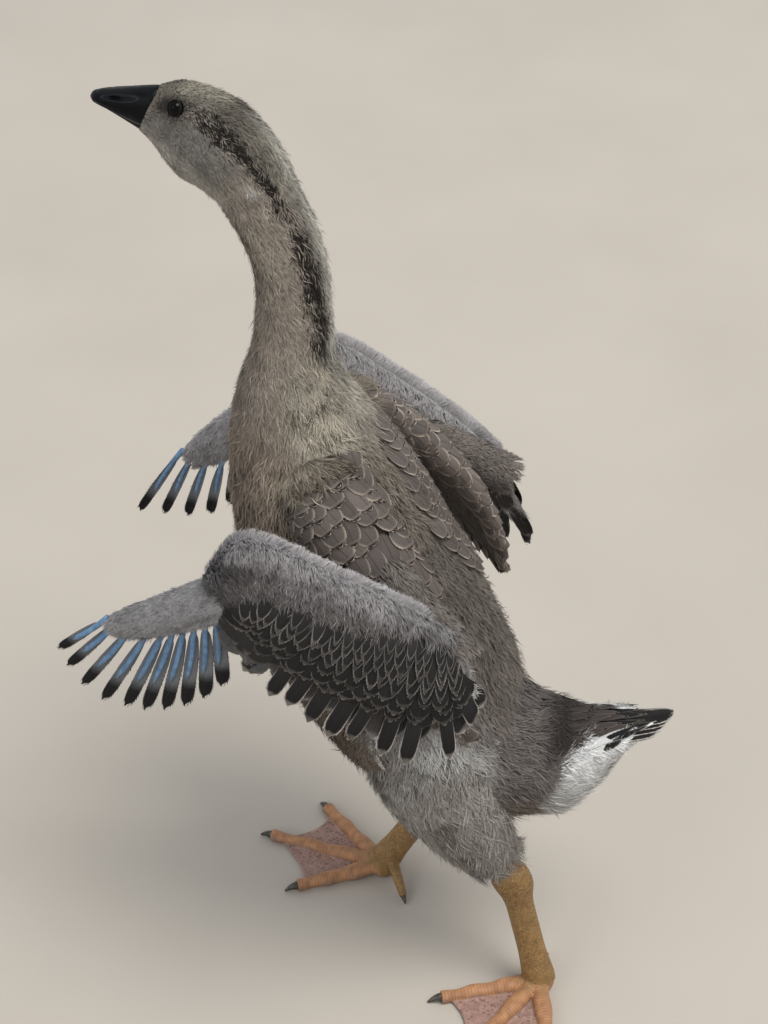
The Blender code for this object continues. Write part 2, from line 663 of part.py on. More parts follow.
for side in ("L", "R"):
    cape = finish_mesh("scapulars_" + side, loft_bm(scapular_rings(side)), cutter=True)
    upper = finish_mesh("wing_%s_upper" % side, loft_bm(upper_rings(side)), "feather_dark")
    union(upper, cape)
    difference(upper, trunk_cut)
    difference(upper, neck_cut)
    upper_cut = finish_mesh("upper_%s_grown" % side, loft_bm(upper_rings(side, GAP)), cutter=True)
    scap_cut = finish_mesh("scapulars_%s_grown" % side, loft_bm(scapular_rings(side, GAP)),
                           cutter=True)
    fore = finish_mesh("wing_%s_forearm" % side, loft_bm(forearm_rings(side)), "feather_grey")
    difference(fore, upper_cut)
    difference(fore, scap_cut)
    difference(fore, trunk_cut)
    fore_cut = finish_mesh("forearm_%s_grown" % side, loft_bm(forearm_rings(side, GAP)),
                           cutter=True)
    hand = finish_mesh("wing_%s_hand" % side, loft_bm(hand_rings(side)), "feather_grey")
    difference(hand, fore_cut)
    fan_cut = primaries(side)
    difference(hand, fan_cut)
    difference(fore, fan_cut)

# ------------------------------------------------------------------ tail feathers
bm = bmesh.new()
fan_rows = []
cols = RECTRICES * 2 + 1
for i in range(cols):
    f = 2 * i / (cols - 1) - 1.0
    root = Vector((0.019 * f, 0.160, 0.2215 - 0.003 * f * f))
    d = Vector((-0.10 * f, 1.0, 0.37 - 0.05 * f * f)).normalized()
    reach = (0.063 - 0.013 * f * f) * (1.0 if i % 2 else 0.86)
    fan_rows.append([bm.verts.new(root + d * (reach * q)) for q in (0.0, 0.5, 1.0)])
for a, c in zip(fan_rows[:-1], fan_rows[1:]):
    for i in range(2):
        bm.faces.new((a[i], a[i + 1], c[i + 1], c[i]))
tail_fan = finish_mesh("tail_feathers", bm, "feather_dark")
mod = tail_fan.modifiers.new("thickness", "SOLIDIFY")
mod.thickness = 0.0020
mod.offset = 0.0
difference(tail_fan, tail_cut)

# ------------------------------------------------------------------ origin
for col in (parts, cutters):
    for ob in col.objects:
        ob.data.transform(Matrix.Translation((-SHIFT_X, -SHIFT_Y, 0)))
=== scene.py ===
# Young domestic goose of the Chinese type, still life-size model: the looks.
# Same frame as the CAD: the bird faces -Y, its left side is +X, the floor is z = 0.
import bpy
import bmesh
import math
import numpy as np
from mathutils import Vector, Matrix
from mathutils.kdtree import KDTree


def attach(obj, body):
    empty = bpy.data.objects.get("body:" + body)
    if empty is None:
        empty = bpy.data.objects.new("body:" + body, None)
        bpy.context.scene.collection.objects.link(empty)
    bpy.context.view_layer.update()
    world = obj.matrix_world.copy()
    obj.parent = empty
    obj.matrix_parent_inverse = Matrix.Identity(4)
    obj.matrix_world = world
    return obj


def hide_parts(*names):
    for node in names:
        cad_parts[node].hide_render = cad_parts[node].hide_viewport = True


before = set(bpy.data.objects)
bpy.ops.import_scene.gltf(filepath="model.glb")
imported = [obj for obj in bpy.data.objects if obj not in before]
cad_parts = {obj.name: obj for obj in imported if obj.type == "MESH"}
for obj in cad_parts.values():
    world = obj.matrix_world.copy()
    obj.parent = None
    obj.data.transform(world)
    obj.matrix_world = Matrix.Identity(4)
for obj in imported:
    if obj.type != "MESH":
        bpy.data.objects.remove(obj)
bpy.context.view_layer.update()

SHARE = 1.0          # share of the tufts made while working
SHIFT = np.array([-0.0048, 0.0008, 0.0])
rng = np.random.default_rng(11)

# ------------------------------------------------------------------ body tables
# y, z, dip of the axis, depth above, depth below, half width (as in the CAD)
STATIONS = np.array([
    (-0.1553, 0.7062, 25, 0.0172, 0.0172, 0.0125), (-0.1427, 0.7044, 28, 0.0235, 0.0250, 0.0170),
    (-0.1278, 0.6956, 34, 0.0300, 0.0320, 0.0203), (-0.1145, 0.6857, 41, 0.0335, 0.0350, 0.0218),
    (-0.1015, 0.6733, 48, 0.0320, 0.0310, 0.0222), (-0.0909, 0.6600, 56, 0.0288, 0.0275, 0.0222),
    (-0.0820, 0.6425, 63, 0.0258, 0.0252, 0.0226), (-0.0737, 0.6240, 72, 0.0248, 0.0245, 0.0230),
    (-0.0672, 0.6045, 80, 0.0243, 0.0243, 0.0232), (-0.0645, 0.5839, 87, 0.0243, 0.0243, 0.0236),
    (-0.0637, 0.5639, 91, 0.0250, 0.0252, 0.0245), (-0.0642, 0.5439, 92, 0.0262, 0.0266, 0.0258),
    (-0.0647, 0.5270, 91, 0.0292, 0.0302, 0.0290), (-0.0641, 0.5085, 88, 0.0355, 0.0372, 0.0355),
    (-0.0611, 0.4856, 83, 0.0450, 0.0465, 0.0445), (-0.0532, 0.4476, 75, 0.0580, 0.0595, 0.0565),
    (-0.0408, 0.4055, 69, 0.0690, 0.0710, 0.0680), (-0.0237, 0.3537, 66, 0.0770, 0.0790, 0.0765),
    (-0.0010, 0.3000, 60, 0.0830, 0.0830, 0.0810), (0.0250, 0.2540, 50, 0.0800, 0.0800, 0.0810),
    (0.0530, 0.2200, 38, 0.0730, 0.0690, 0.0750), (0.0810, 0.2035, 20, 0.0600, 0.0620, 0.0640),
    (0.1050, 0.2000, 0, 0.0460, 0.0600, 0.0540), (0.1280, 0.2010, -12, 0.0340, 0.0540, 0.0450),
    (0.1500, 0.2080, -20, 0.0220, 0.0380, 0.0355), (0.1730, 0.2200, -25, 0.0130, 0.0190, 0.0255),
    (0.1930, 0.2300, -25, 0.0045, 0.0075, 0.0140)], float)
LAST = len(STATIONS) - 1.0
EYE_CENTRE = (0.0126, -0.1335, 0.7135)
EYE_RADIUS = 0.0060
LEGS = {
    "L": dict(ball=(0.062, 0.134, 0.0125), hock=(0.052, 0.109, 0.107),
              knee=(0.053, 0.046, 0.182), hip=(0.034, 0.028, 0.240),
              toes=dict(II=(21, 0.078), III=(61, 0.098), IV=(104, 0.088)),
              hallux=(262, 0.030)),
    "R": dict(ball=(-0.044, -0.008, 0.0125), hock=(-0.047, 0.040, 0.097),
              knee=(-0.053, -0.010, 0.168), hip=(-0.034, 0.010, 0.235),
              toes=dict(II=(27, 0.074), III=(-12, 0.101), IV=(-46, 0.086)),
              hallux=(118, 0.036)),
}
SHOULDER = np.array((0.050, -0.032, 0.443))
ELBOW = np.array((0.110, 0.070, 0.368))
WRIST = np.array((0.128, -0.102, 0.430))
FOREARM_LIFT = np.array([[0.010, 0.017, 0.021, 0.024, 0.027, 0.031, 0.032, 0.022, -0.012]]).T
FOREARM_SAG = {"L": 0.0, "R": 0.0035}
FOREARM_REACH = {
    "L": np.array([[0.060, 0.100, 0.110, 0.111, 0.109, 0.104, 0.096, 0.074, 0.028]]).T,
    "R": np.array([[0.085, 0.120, 0.116, 0.111, 0.109, 0.104, 0.096, 0.074, 0.028]]).T}
HAND_ROOT = {"L": np.array((0.130, -0.082, 0.415)), "R": np.array((0.129, -0.084, 0.405))}
HAND_END = {"L": np.array((0.132, -0.168, 0.376)), "R": np.array((0.130, -0.178, 0.336))}
FAN_TURN = {"L": 0.0, "R": 19.0}
HAND_RISE = {"L": -0.0030, "R": 0.0030}
HAND_PLUMP = {"L": 0.94, "R": 1.16}
HAND_PROFILE = np.array(((0.0170, 0.0110), (0.0182, 0.0116), (0.0180, 0.0110), (0.0172, 0.0098),
                         (0.0162, 0.0084), (0.0146, 0.0070), (0.0122, 0.0056), (0.0080, 0.0036)))
SIGN = {"L": 1.0, "R": -1.0}


# ------------------------------------------------------------------ small maths
def unit(v):
    return v / np.maximum(np.linalg.norm(v, axis=-1, keepdims=True), 1e-9)


def step(x, lo, hi):
    t = np.clip((x - lo) / (hi - lo), 0, 1)
    return t * t * (3 - 2 * t)


def cat(table, s):
    """Smooth value of each column of a table at the places s."""
    t = np.asarray(table, float)
    s = np.clip(np.asarray(s, float), 0, len(t) - 1.0)
    i = np.minimum(s.astype(int), len(t) - 2)
    f = (s - i)[:, None]
    p1, p2 = t[i], t[i + 1]
    p0 = np.where((i > 0)[:, None], t[np.maximum(i - 1, 0)], 2 * p1 - p2)
    p3 = np.where((i + 2 < len(t))[:, None], t[np.minimum(i + 2, len(t) - 1)], 2 * p2 - p1)
    return 0.5 * (2 * p1 + (p2 - p0) * f + (2 * p0 - 5 * p1 + 4 * p2 - p3) * f ** 2
                  + (3 * p1 - p0 - 3 * p2 + p3) * f ** 3)


_waves = np.random.default_rng(5).normal(size=(4, 14, 3))


def ripple(p, size, which=0):
    """Smooth noise in space, about -1 to 1, with lumps of the given size."""
    k = unit(_waves[which]) * (2 * math.pi / size) * (0.6 + 0.8 * np.arange(14)[:, None] / 13)
    ph = np.arange(14) * 2.4 + which
    return np.sin(p @ k.T + ph + 1.7 * np.sin(p @ k[::-1].T * 0.6 + ph * 2)).sum(1) / 4.2


def lin(r, g, b):
    """A colour given as it looks on screen, 0 to 255, as a linear one."""
    c = np.array([r, g, b]) / 255.0
    return np.where(c <= 0.04045, c / 12.92, ((c + 0.055) / 1.055) ** 2.4)


def greyer(c, k):
    """A colour with a share k of its own hue taken out."""
    return c * (1 - k) + (c @ np.array([0.30, 0.59, 0.11]))[:, None] * k


def mix(a, b, f):
    f = np.asarray(f)[..., None]
    return a * (1 - f) + b * f


# ------------------------------------------------------------------ surfaces
def body_at(s, a):
    r = cat(STATIONS, s)
    d = np.radians(r[:, 2])
    ca = np.cos(a)
    h = np.where(ca > 0, r[:, 3], r[:, 4])
    return np.stack([r[:, 5] * np.sin(a), r[:, 0] + np.sin(d) * h * ca,
                     r[:, 1] + np.cos(d) * h * ca], 1)


def tube_at(path, radius):
    def at(f, th):
        e = 2e-2
        t = unit(path(f + e) - path(f - e))
        ref = np.array([1.0, 0, 0])
        x = unit(ref - t * (t @ ref)[:, None])
        w = np.cross(t, x)
        r = radius(f)
        return path(f) + x * (r[:, 0] * np.cos(th))[:, None] + w * (r[:, 1] * np.sin(th))[:, None]
    return at


def scapular_at(f, th):
    """The cape of shoulder feathers, f from 0 at the shoulder to 1 at the free tip."""
    ctrl = np.array([(0.0470, -0.050, 0.464, 0.016, 0.009), (0.0620, -0.030, 0.448, 0.028, 0.015),
                     (0.0750, -0.004, 0.420, 0.032, 0.016), (0.0860, 0.022, 0.386, 0.032, 0.014),
                     (0.0940, 0.046, 0.348, 0.027, 0.009), (0.0985, 0.062, 0.314, 0.019, 0.005),
                     (0.1005, 0.072, 0.291, 0.006, 0.0018)])
    c = cat(ctrl, 6 * f)
    t = unit(cat(ctrl, np.minimum(6.0, 6 * f + 0.1))[:, :3]
             - cat(ctrl, np.maximum(0.0, 6 * f - 0.1))[:, :3])
    out = np.array([0.80, 0.42, 0.42])
    out = unit(out - t * (t @ out)[:, None])
    across = np.cross(t, out)
    return c[:, :3] + across * (c[:, 3] * np.cos(th))[:, None] + out * (c[:, 4] * np.sin(th))[:, None]


def forearm_reach(side, f):
    return cat(FOREARM_REACH[side], 8 * np.clip(f, 0, 1))[:, 0]


def forearm_of(side):
    """Fore-arm, elbow f = 0 to wrist f = 1.  c: 0 to 1 down the outer face,
    0 to -2 round the front edge, -2 to -3 down the inner face."""
    def at(f, c):
        f = np.clip(f, 0, 1)
        p = ELBOW + (WRIST - ELBOW) * f[:, None]
        p = p + np.stack([0.010 * np.sin(np.pi * f), 0 * f,
                          cat(FOREARM_LIFT, 8 * f)[:, 0]
                          - FOREARM_SAG[side] * np.sin(np.pi * f)], 1)
        chord = unit(np.stack([0.16 + 0 * f, 0.32 - 0.28 * f, -1 + 0 * f], 1))
        nrm = np.array([1.0, 0.08, 0.16])
        nrm = unit(nrm - chord * (chord @ nrm)[:, None])
        reach = forearm_reach(side, f)
        near = np.sqrt(np.maximum(0.0, 1 - (np.maximum(0.0, f - 0.84) / 0.16) ** 2))
        front = (0.0125 + 0.008 * np.sin(np.pi * f)) * (0.55 + 0.45 * near)
        thick = (0.0120 + 0.0035 * np.sin(np.pi * f)) * (0.6 + 0.4 * near)
        q = np.where(c >= 0, c, np.where(c <= -2, -2 - c, 0.0))
        h = thick * np.maximum(1 - q, 0) ** 1.35 + 0.0011 * np.minimum(1, q / 0.1)
        arch = 0.03 * reach * np.sin(np.pi * np.minimum(q, 1))
        ang = np.radians(90 - 90 * np.clip(c, -2, 0))
        rnd = (c < 0) & (c > -2)
        along = np.where(rnd, front * np.cos(ang), reach * q)
        off = np.where(rnd, thick * np.sin(ang), np.where(c >= 0, h + arch, -h + arch))
        return p + chord * along[:, None] + nrm * off[:, None]
    return at


def hand_at(side):
    w, h = HAND_ROOT[side], HAND_END[side]

    def path(f):
        p = w + (h - w) * f[:, None]
        p[:, 2] += HAND_RISE[side] * np.sin(np.pi * np.clip(f, 0, 1))
        return p
    return tube_at(path, lambda f: cat(HAND_PROFILE, 7 * f)[:, ::-1]
                   * np.array([[1.0, HAND_PLUMP[side]]]))


def upper_at(f, th):
    def path(f):
        e = ELBOW + (ELBOW - SHOULDER) / np.linalg.norm(ELBOW - SHOULDER) * 0.004
        p = SHOULDER + (e - SHOULDER) * f[:, None]
        p[:, 0] += 0.006 * np.sin(np.pi * np.clip(f, 0, 1))
        return p
    return tube_at(path, lambda f: np.stack([(0.020 - 0.004 * f) * 0.85,
                                             (0.020 - 0.004 * f) * 1.05], 1))(f, th)


def bez(a, b, c, f):
    f = f[:, None]
    return (1 - f) ** 2 * a + 2 * f * (1 - f) * b + f * f * c


def thigh_at(side):
    leg = LEGS[side]
    hip, knee, hock = (np.array(leg[k]) for k in ("hip", "knee", "hock"))
    end = hock + (knee - hock) * 0.02
    prof = np.array([0.030, 0.040, 0.043, 0.041, 0.036, 0.030, 0.0235, 0.0175])[:, None]
    return tube_at(lambda f: bez(hip, knee, end, f),
                   lambda f: cat(prof, 7 * f) * np.array([[0.86, 1.10]]))


class Patch:
    """A surface of the bird with two parameters; places are in the shared frame."""

    def __init__(self, at, u, v, flip=1.0, sx=1.0, closed=True):
        self.at, self.u, self.v, self.flip, self.sx, self.closed = at, u, v, flip, sx, closed

    def place(self, u, v):
        return self.at(u, v) * np.array([self.sx, 1, 1]) + SHIFT

    def frame(self, u, v):
        """Places, the two derivatives and the outward normal."""
        eu, ev = (self.u[1] - self.u[0]) * 1e-3, (self.v[1] - self.v[0]) * 1e-3
        a, b = np.clip(u - eu, *self.u), np.clip(u + eu, *self.u)
        du = (self.at(b, v) - self.at(a, v)) / (b - a)[:, None]
        if self.closed:
            c, d = v - ev, v + ev
        else:
            c, d = np.clip(v - ev, *self.v), np.clip(v + ev, *self.v)
        dv = (self.at(u, d) - self.at(u, c)) / (d - c)[:, None]
        n = unit(np.cross(du, dv)) * self.flip
        m = np.array([self.sx, 1, 1])
        return self.place(u, v), du * m, dv * m, n * m

    def scatter(self, count, density, nu=240, nv=160):
        """Even random places, thinned by the density at each."""
        du, dv = (self.u[1] - self.u[0]) / nu, (self.v[1] - self.v[0]) / nv
        U, V = np.meshgrid(self.u[0] + (np.arange(nu) + 0.5) * du,
                           self.v[0] + (np.arange(nv) + 0.5) * dv, indexing="ij")
        U, V = U.ravel(), V.ravel()
        p, pu, pv, _ = self.frame(U, V)
        w = np.linalg.norm(np.cross(pu, pv), axis=1) * np.maximum(density(U, V, p), 0)
        cum = np.cumsum(w) / w.sum()
        k = np.searchsorted(cum, (np.arange(count) + rng.random(count)) / count)
        k = np.minimum(k, len(U) - 1)
        return (U[k] + (rng.random(count) - 0.5) * du, V[k] + (rng.random(count) - 0.5) * dv)

    def unwrap(self, u, v):
        return np.stack([0.03 + 0.94 * (v - self.v[0]) / (self.v[1] - self.v[0]) % 1.0,
                         0.03 + 0.94 * (u - self.u[0]) / (self.u[1] - self.u[0])], 1)


BODY = Patch(body_at, (0.0, LAST), (-math.pi, math.pi), flip=-1.0)
FORE = {s: Patch(forearm_of(s), (0.0, 1.0), (-3.0, 1.0), flip=1.0, sx=SIGN[s], closed=False)
        for s in "LR"}
HAND = {s: Patch(hand_at(s), (0.0, 1.0), (-math.pi, math.pi), flip=-1.0, sx=SIGN[s]) for s in "LR"}
CAPE = {s: Patch(scapular_at, (0.0, 1.0), (-math.pi, math.pi), flip=1.0, sx=SIGN[s]) for s in "LR"}
UPPER = {s: Patch(upper_at, (0.0, 1.0), (-math.pi, math.pi), flip=-1.0, sx=SIGN[s]) for s in "LR"}
THIGH = {s: Patch(thigh_at(s), (0.0, 1.0), (-math.pi, math.pi), flip=-1.0) for s in "LR"}


# ------------------------------------------------------------------ meshes and materials
def tri_object(name, V, F, mat, col=None, col2=None, vane=None, fw=None, uv=None):
    """An object of triangles from arrays, with its colours, vane places and bake map."""
    me = bpy.data.meshes.new(name)
    nv, nf = len(V), len(F)
    me.vertices.add(nv)
    me.vertices.foreach_set("co", np.ascontiguousarray(V, np.float32).ravel())
    me.loops.add(nf * 3)
    me.loops.foreach_set("vertex_index", np.ascontiguousarray(F, np.int32).ravel())
    me.polygons.add(nf)
    me.polygons.foreach_set("loop_start", np.arange(0, nf * 3, 3, dtype=np.int32))
    me.update(calc_edges=True)
    me.polygons.foreach_set("use_smooth", np.ones(nf, bool))
    for nm, c in (("Col", col), ("Col2", col2)):
        if c is not None:
            at = me.color_attributes.new(name=nm, type="FLOAT_COLOR", domain="POINT")
            rgba = np.ones((nv, 4), np.float32)
            rgba[:, :3] = c
            at.data.foreach_set("color", rgba.ravel())
    if vane is not None:
        at = me.attributes.new("vane", "FLOAT_VECTOR", "POINT")
        at.data.foreach_set("vector", np.ascontiguousarray(vane, np.float32).ravel())
    if fw is not None:
        at = me.attributes.new("fringe", "FLOAT", "POINT")
        at.data.foreach_set("value", np.ascontiguousarray(fw, np.float32))
    if uv is not None:
        lay = me.uv_layers.new(name="OFBake")
        lay.data.foreach_set("uv", np.ascontiguousarray(uv[F.ravel()], np.float32).ravel())
    me.materials.append(mat)
    ob = bpy.data.objects.new(name, me)
    bpy.context.scene.collection.objects.link(ob)
    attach(ob, "root")
    return ob


def new_material(name):
    m = bpy.data.materials.new(name)
    m.use_nodes = True
    nt = m.node_tree
    return m, nt, nt.nodes["Principled BSDF"]


def node(nt, kind, **vals):
    n = nt.nodes.new(kind)
    for k, v in vals.items():
        if k in n.inputs:
            n.inputs[k].default_value = v
        else:
            setattr(n, k, v)
    return n


def maths(nt, op, a, b=None, clamp=False):
    n = nt.nodes.new("ShaderNodeMath")
    n.operation = op
    n.use_clamp = clamp
    for i, x in enumerate((a, b)):
        if x is None:
            continue
        if isinstance(x, (int, float)):
            n.inputs[i].default_value = x
        else:
            nt.links.new(x, n.inputs[i])
    return n.outputs[0]


def ramp(nt, fac, *stops):
    r = nt.nodes.new("ShaderNodeValToRGB")
    while len(r.color_ramp.elements) < len(stops):
        r.color_ramp.elements.new(0.5)
    for e, (p, c) in zip(r.color_ramp.elements, stops):
        e.position = p
        e.color = (*c, 1) if len(c) == 3 else c
    nt.links.new(fac, r.inputs[0])
    return r.outputs[0]


def blend(nt, kind, fac, a, b):
    m = nt.nodes.new("ShaderNodeMix")
    m.data_type = "RGBA"
    m.blend_type = kind
    for sock, x in ((m.inputs[0], fac), (m.inputs[6], a), (m.inputs[7], b)):
        if isinstance(x, (int, float)):
            sock.default_value = x
        elif isinstance(x, tuple):
            sock.default_value = (*x, 1)
        else:
            nt.links.new(x, sock)
    return m.outputs[2]


def noise(nt, scale, detail=3.0, vec=None, rough=0.55):
    n = node(nt, "ShaderNodeTexNoise", Scale=scale, Detail=detail, Roughness=rough)
    if vec is None:
        vec = nt.nodes.new("ShaderNodeTexCoord").outputs["Object"]
    nt.links.new(vec, n.inputs["Vector"])
    return n.outputs["Fac"]


def bump(nt, bsdf, height, strength, distance):
    b = node(nt, "ShaderNodeBump", Strength=strength, Distance=distance)
    nt.links.new(height, b.inputs["Height"])
    nt.links.new(b.outputs[0], bsdf.inputs["Normal"])


def down_material(name, rough=0.78, sheen=0.18, tint=(0.95, 0.93, 0.9)):
    m, nt, b = new_material(name)
    c = node(nt, "ShaderNodeAttribute", attribute_name="Col").outputs["Color"]
    g = ramp(nt, noise(nt, 420, 2.0), (0.30, (0.80, 0.80, 0.80)), (0.72, (1.16, 1.16, 1.16)))
    nt.links.new(blend(nt, "MULTIPLY", 1.0, c, g), b.inputs["Base Color"])
    b.inputs["Roughness"].default_value = rough
    b.inputs["Specular IOR Level"].default_value = 0.22
    b.inputs["Sheen Weight"].default_value = sheen
    b.inputs["Sheen Roughness"].default_value = 0.45
    b.inputs["Sheen Tint"].default_value = (*tint, 1)
    return m


def vane_material(name, rough=0.55, spec=0.3, barb=0.16):
    m, nt, b = new_material(name)
    c = node(nt, "ShaderNodeAttribute", attribute_name="Col").outputs["Color"]
    c2 = node(nt, "ShaderNodeAttribute", attribute_name="Col2").outputs["Color"]
    fw = node(nt, "ShaderNodeAttribute", attribute_name="fringe").outputs["Fac"]
    va = node(nt, "ShaderNodeAttribute", attribute_name="vane").outputs["Vector"]
    sep = nt.nodes.new("ShaderNodeSeparateXYZ")
    nt.links.new(va, sep.inputs[0])
    ax = maths(nt, "ABSOLUTE", sep.outputs[0])
    nz = noise(nt, 900, 2.0)
    ragged = maths(nt, "MULTIPLY", maths(nt, "SUBTRACT", nz, 0.5), 0.14)
    edge = maths(nt, "ADD", sep.outputs[2], ragged)
    ratio = maths(nt, "DIVIDE", edge, fw)
    mask = ramp(nt, ratio, (0.10, (0.95, 0.95, 0.95)), (0.40, (0.52, 0.52, 0.52)), (1.0, (0, 0, 0)))
    ph = maths(nt, "SUBTRACT", maths(nt, "MULTIPLY", sep.outputs[1], 150.0),
               maths(nt, "MULTIPLY", ax, 34.0))
    wv = maths(nt, "SINE", ph)
    wv = maths(nt, "ADD", maths(nt, "MULTIPLY", wv, barb * 0.5),
               maths(nt, "MULTIPLY", maths(nt, "SUBTRACT", nz, 0.5), 0.55))
    g = maths(nt, "ADD", wv, 1.0)
    gc = nt.nodes.new("ShaderNodeCombineXYZ")
    for i in range(3):
        nt.links.new(g, gc.inputs[i])
    body = blend(nt, "MULTIPLY", 1.0, c, gc.outputs[0])
    shaft = ramp(nt, ax, (0.03, (1, 1, 1)), (0.09, (0, 0, 0)))
    body = blend(nt, "MIX", maths(nt, "MULTIPLY", shaft, 0.45), body, (0.02, 0.017, 0.015))
    nt.links.new(blend(nt, "MIX", mask, body, c2), b.inputs["Base Color"])
    b.inputs["Roughness"].default_value = rough
    b.inputs["Specular IOR Level"].default_value = spec
    bump(nt, b, maths(nt, "SINE", ph), 0.35, 0.0004)
    return m


DOWN = down_material("down_plush")
DOWN_WING = down_material("down_wing_velvet", sheen=0.26, tint=(0.93, 0.95, 1.0))
VANE = vane_material("vane_fringed", rough=0.62, spec=0.2)
VANE_DARK = vane_material("vane_dark", rough=0.58, spec=0.2)

roots_at, roots_col = [], []          # every tuft's root, so the skin takes its markings


def blades(P, T, N, L, W, rise, stops, widths, curl=None, pull=None, lead=2.0):
    """Tapered blades: pairs of vertices at every stop but the last, which is the tip."""
    n, K = len(P), len(stops)
    B = unit(np.cross(N, T))
    roll = rng.normal(0, 0.35, n)[:, None]
    side = B * np.cos(roll) + N * np.sin(roll)
    V = np.empty((n, 2 * K - 1, 3))
    for k, t in enumerate(stops):
        c = P + T * (L * t)[:, None] + N * (rise * (1 - (1 - t) ** lead))[:, None]
        if curl is not None:
            c = c + B * (L * curl * t * t)[:, None]
        if pull is not None:
            c = c + pull * (t ** 1.5)
        if k == K - 1:
            V[:, 2 * k] = c
        else:
            V[:, 2 * k] = c - side * (W * widths[k] * 0.5)[:, None]
            V[:, 2 * k + 1] = c + side * (W * widths[k] * 0.5)[:, None]
    faces = []
    for k in range(K - 1):
        a, b = 2 * k, 2 * k + 1
        if k == K - 2:
            faces.append((a, b, 2 * k + 2))
        else:
            faces += [(a, b, b + 2), (a, b + 2, a + 2)]
    F = (np.arange(n)[:, None, None] * (2 * K - 1) + np.array(faces)[None]).reshape(-1, 3)
    tt = np.array([s for s in stops[:-1] for _ in (0, 1)] + [stops[-1]])
    xx = np.array([x for _ in stops[:-1] for x in (-1, 1)] + [0])
    return V.reshape(-1, 3), F, tt, xx


def coat(name, patch, u, v, depth, flow, L, W, rise, c_root, c_tip, mat,
         fine=False, clump=0.0, clump_every=14, gamma=1.0, jitter=0.10, curl=0.25, lead=2.0,
         wisp=0.0, wisp_len=1.12, wisp_rise=1.45):
    """Tufts over a patch.  flow is the angle from +u towards +v; the rest are per tuft."""
    n = len(u)
    S, du, dv, N = patch.frame(u, v)
    tu = unit(du)
    tv = unit(np.cross(tu, N)) * 1.0
    tv = tv * np.sign((tv * dv).sum(1))[:, None]
    T = unit(tu * np.cos(flow)[:, None] + tv * np.sin(flow)[:, None])
    P = S - N * depth[:, None]
    L = L * (0.78 + 0.44 * rng.random(n))
    rise = rise * (0.75 + 0.5 * rng.random(n))
    loose = rng.random(n) < wisp
    L = np.where(loose, L * wisp_len, L)
    rise = np.where(loose, rise * wisp_rise, rise)
    pull = None
    if clump > 0:
        tips = P + T * L[:, None] + N * rise[:, None]
        pick = np.arange(0, n, clump_every)
        pick = rng.permutation(n)[:max(4, n // clump_every)]
        tree = KDTree(len(pick))
        for i, k in enumerate(pick):
            tree.insert(tips[k], i)
        tree.balance()
        near = np.array([tree.find(t)[1] for t in tips])
        d = tips[pick][near] - tips
        ln = np.linalg.norm(d, axis=1)
        d *= np.minimum(1.0, 0.004 / np.maximum(ln, 1e-6))[:, None]
        pull = d * clump
    if fine:
        stops, widths = (0.0, 0.55, 1.0), (0.8, 1.0, 0)
    else:
        stops, widths = (0.0, 0.38, 0.75, 1.0), (0.7, 1.0, 0.66, 0)
    V, F, tt, xx = blades(P, T, N, L, W, rise, stops, widths, rng.normal(0, curl, n), pull, lead)
    m = len(tt)
    g = np.exp(rng.normal(0, jitter, n))[:, None]
    g = g * (1 + 0.10 * ripple(P, 0.02, 1)[:, None])
    roots_at.append(P[::3])
    roots_col.append((c_root * 0.7 + c_tip * 0.3)[::3])
    col = (c_root[:, None, :] * (1 - tt[None, :, None] ** gamma)
           + c_tip[:, None, :] * tt[None, :, None] ** gamma) * g[:, None, :]
    uv = patch.unwrap(u, v)[:, None, :] + np.stack([xx * 0.0012, tt * 0.003], 1)[None]
    per = len(F) // n
    most = 190000 // per
    order = np.argsort(u)
    parts_n = int(math.ceil(n / most))
    Vn, cn, un = V.reshape(n, m, 3), col, uv
    obs = []
    for k in range(parts_n):
        sel = order[k * n // parts_n:(k + 1) * n // parts_n]
        f = (np.arange(len(sel))[:, None, None] * m + F.reshape(n, per, 3)[:1] % m).reshape(-1, 3)
        nm = name if parts_n == 1 else "%s_%d" % (name, k + 1)
        ob = tri_object(nm, Vn[sel].reshape(-1, 3), f, mat, col=cn[sel].reshape(-1, 3),
                        uv=un[sel].reshape(-1, 2))
        obs.append(ob)
    return obs


def outline(t, kind):
    """Half width of a vane along its length, 0 to 1."""
    if kind == "round":
        w = np.minimum(1, 0.30 + 0.70 * np.sqrt(np.clip(t / 0.42, 0, 1)))
        return w * np.sqrt(np.clip(1 - (np.clip(t - 0.52, 0, 1) / 0.48) ** 2.0, 0, 1))
    if kind == "point":
        w = np.minimum(1, 0.35 + 0.65 * np.sqrt(np.clip(t / 0.4, 0, 1)))
        return w * np.clip(1 - (np.clip(t - 0.45, 0, 1) / 0.55) ** 1.9, 0, 1) ** 0.8
    w = np.minimum(1, 0.45 + 0.55 * np.sqrt(np.clip(t / 0.35, 0, 1)))       # "long"
    return w * np.sqrt(np.clip(1 - (np.clip(t - 0.78, 0, 1) / 0.22) ** 2.2, 0, 1))


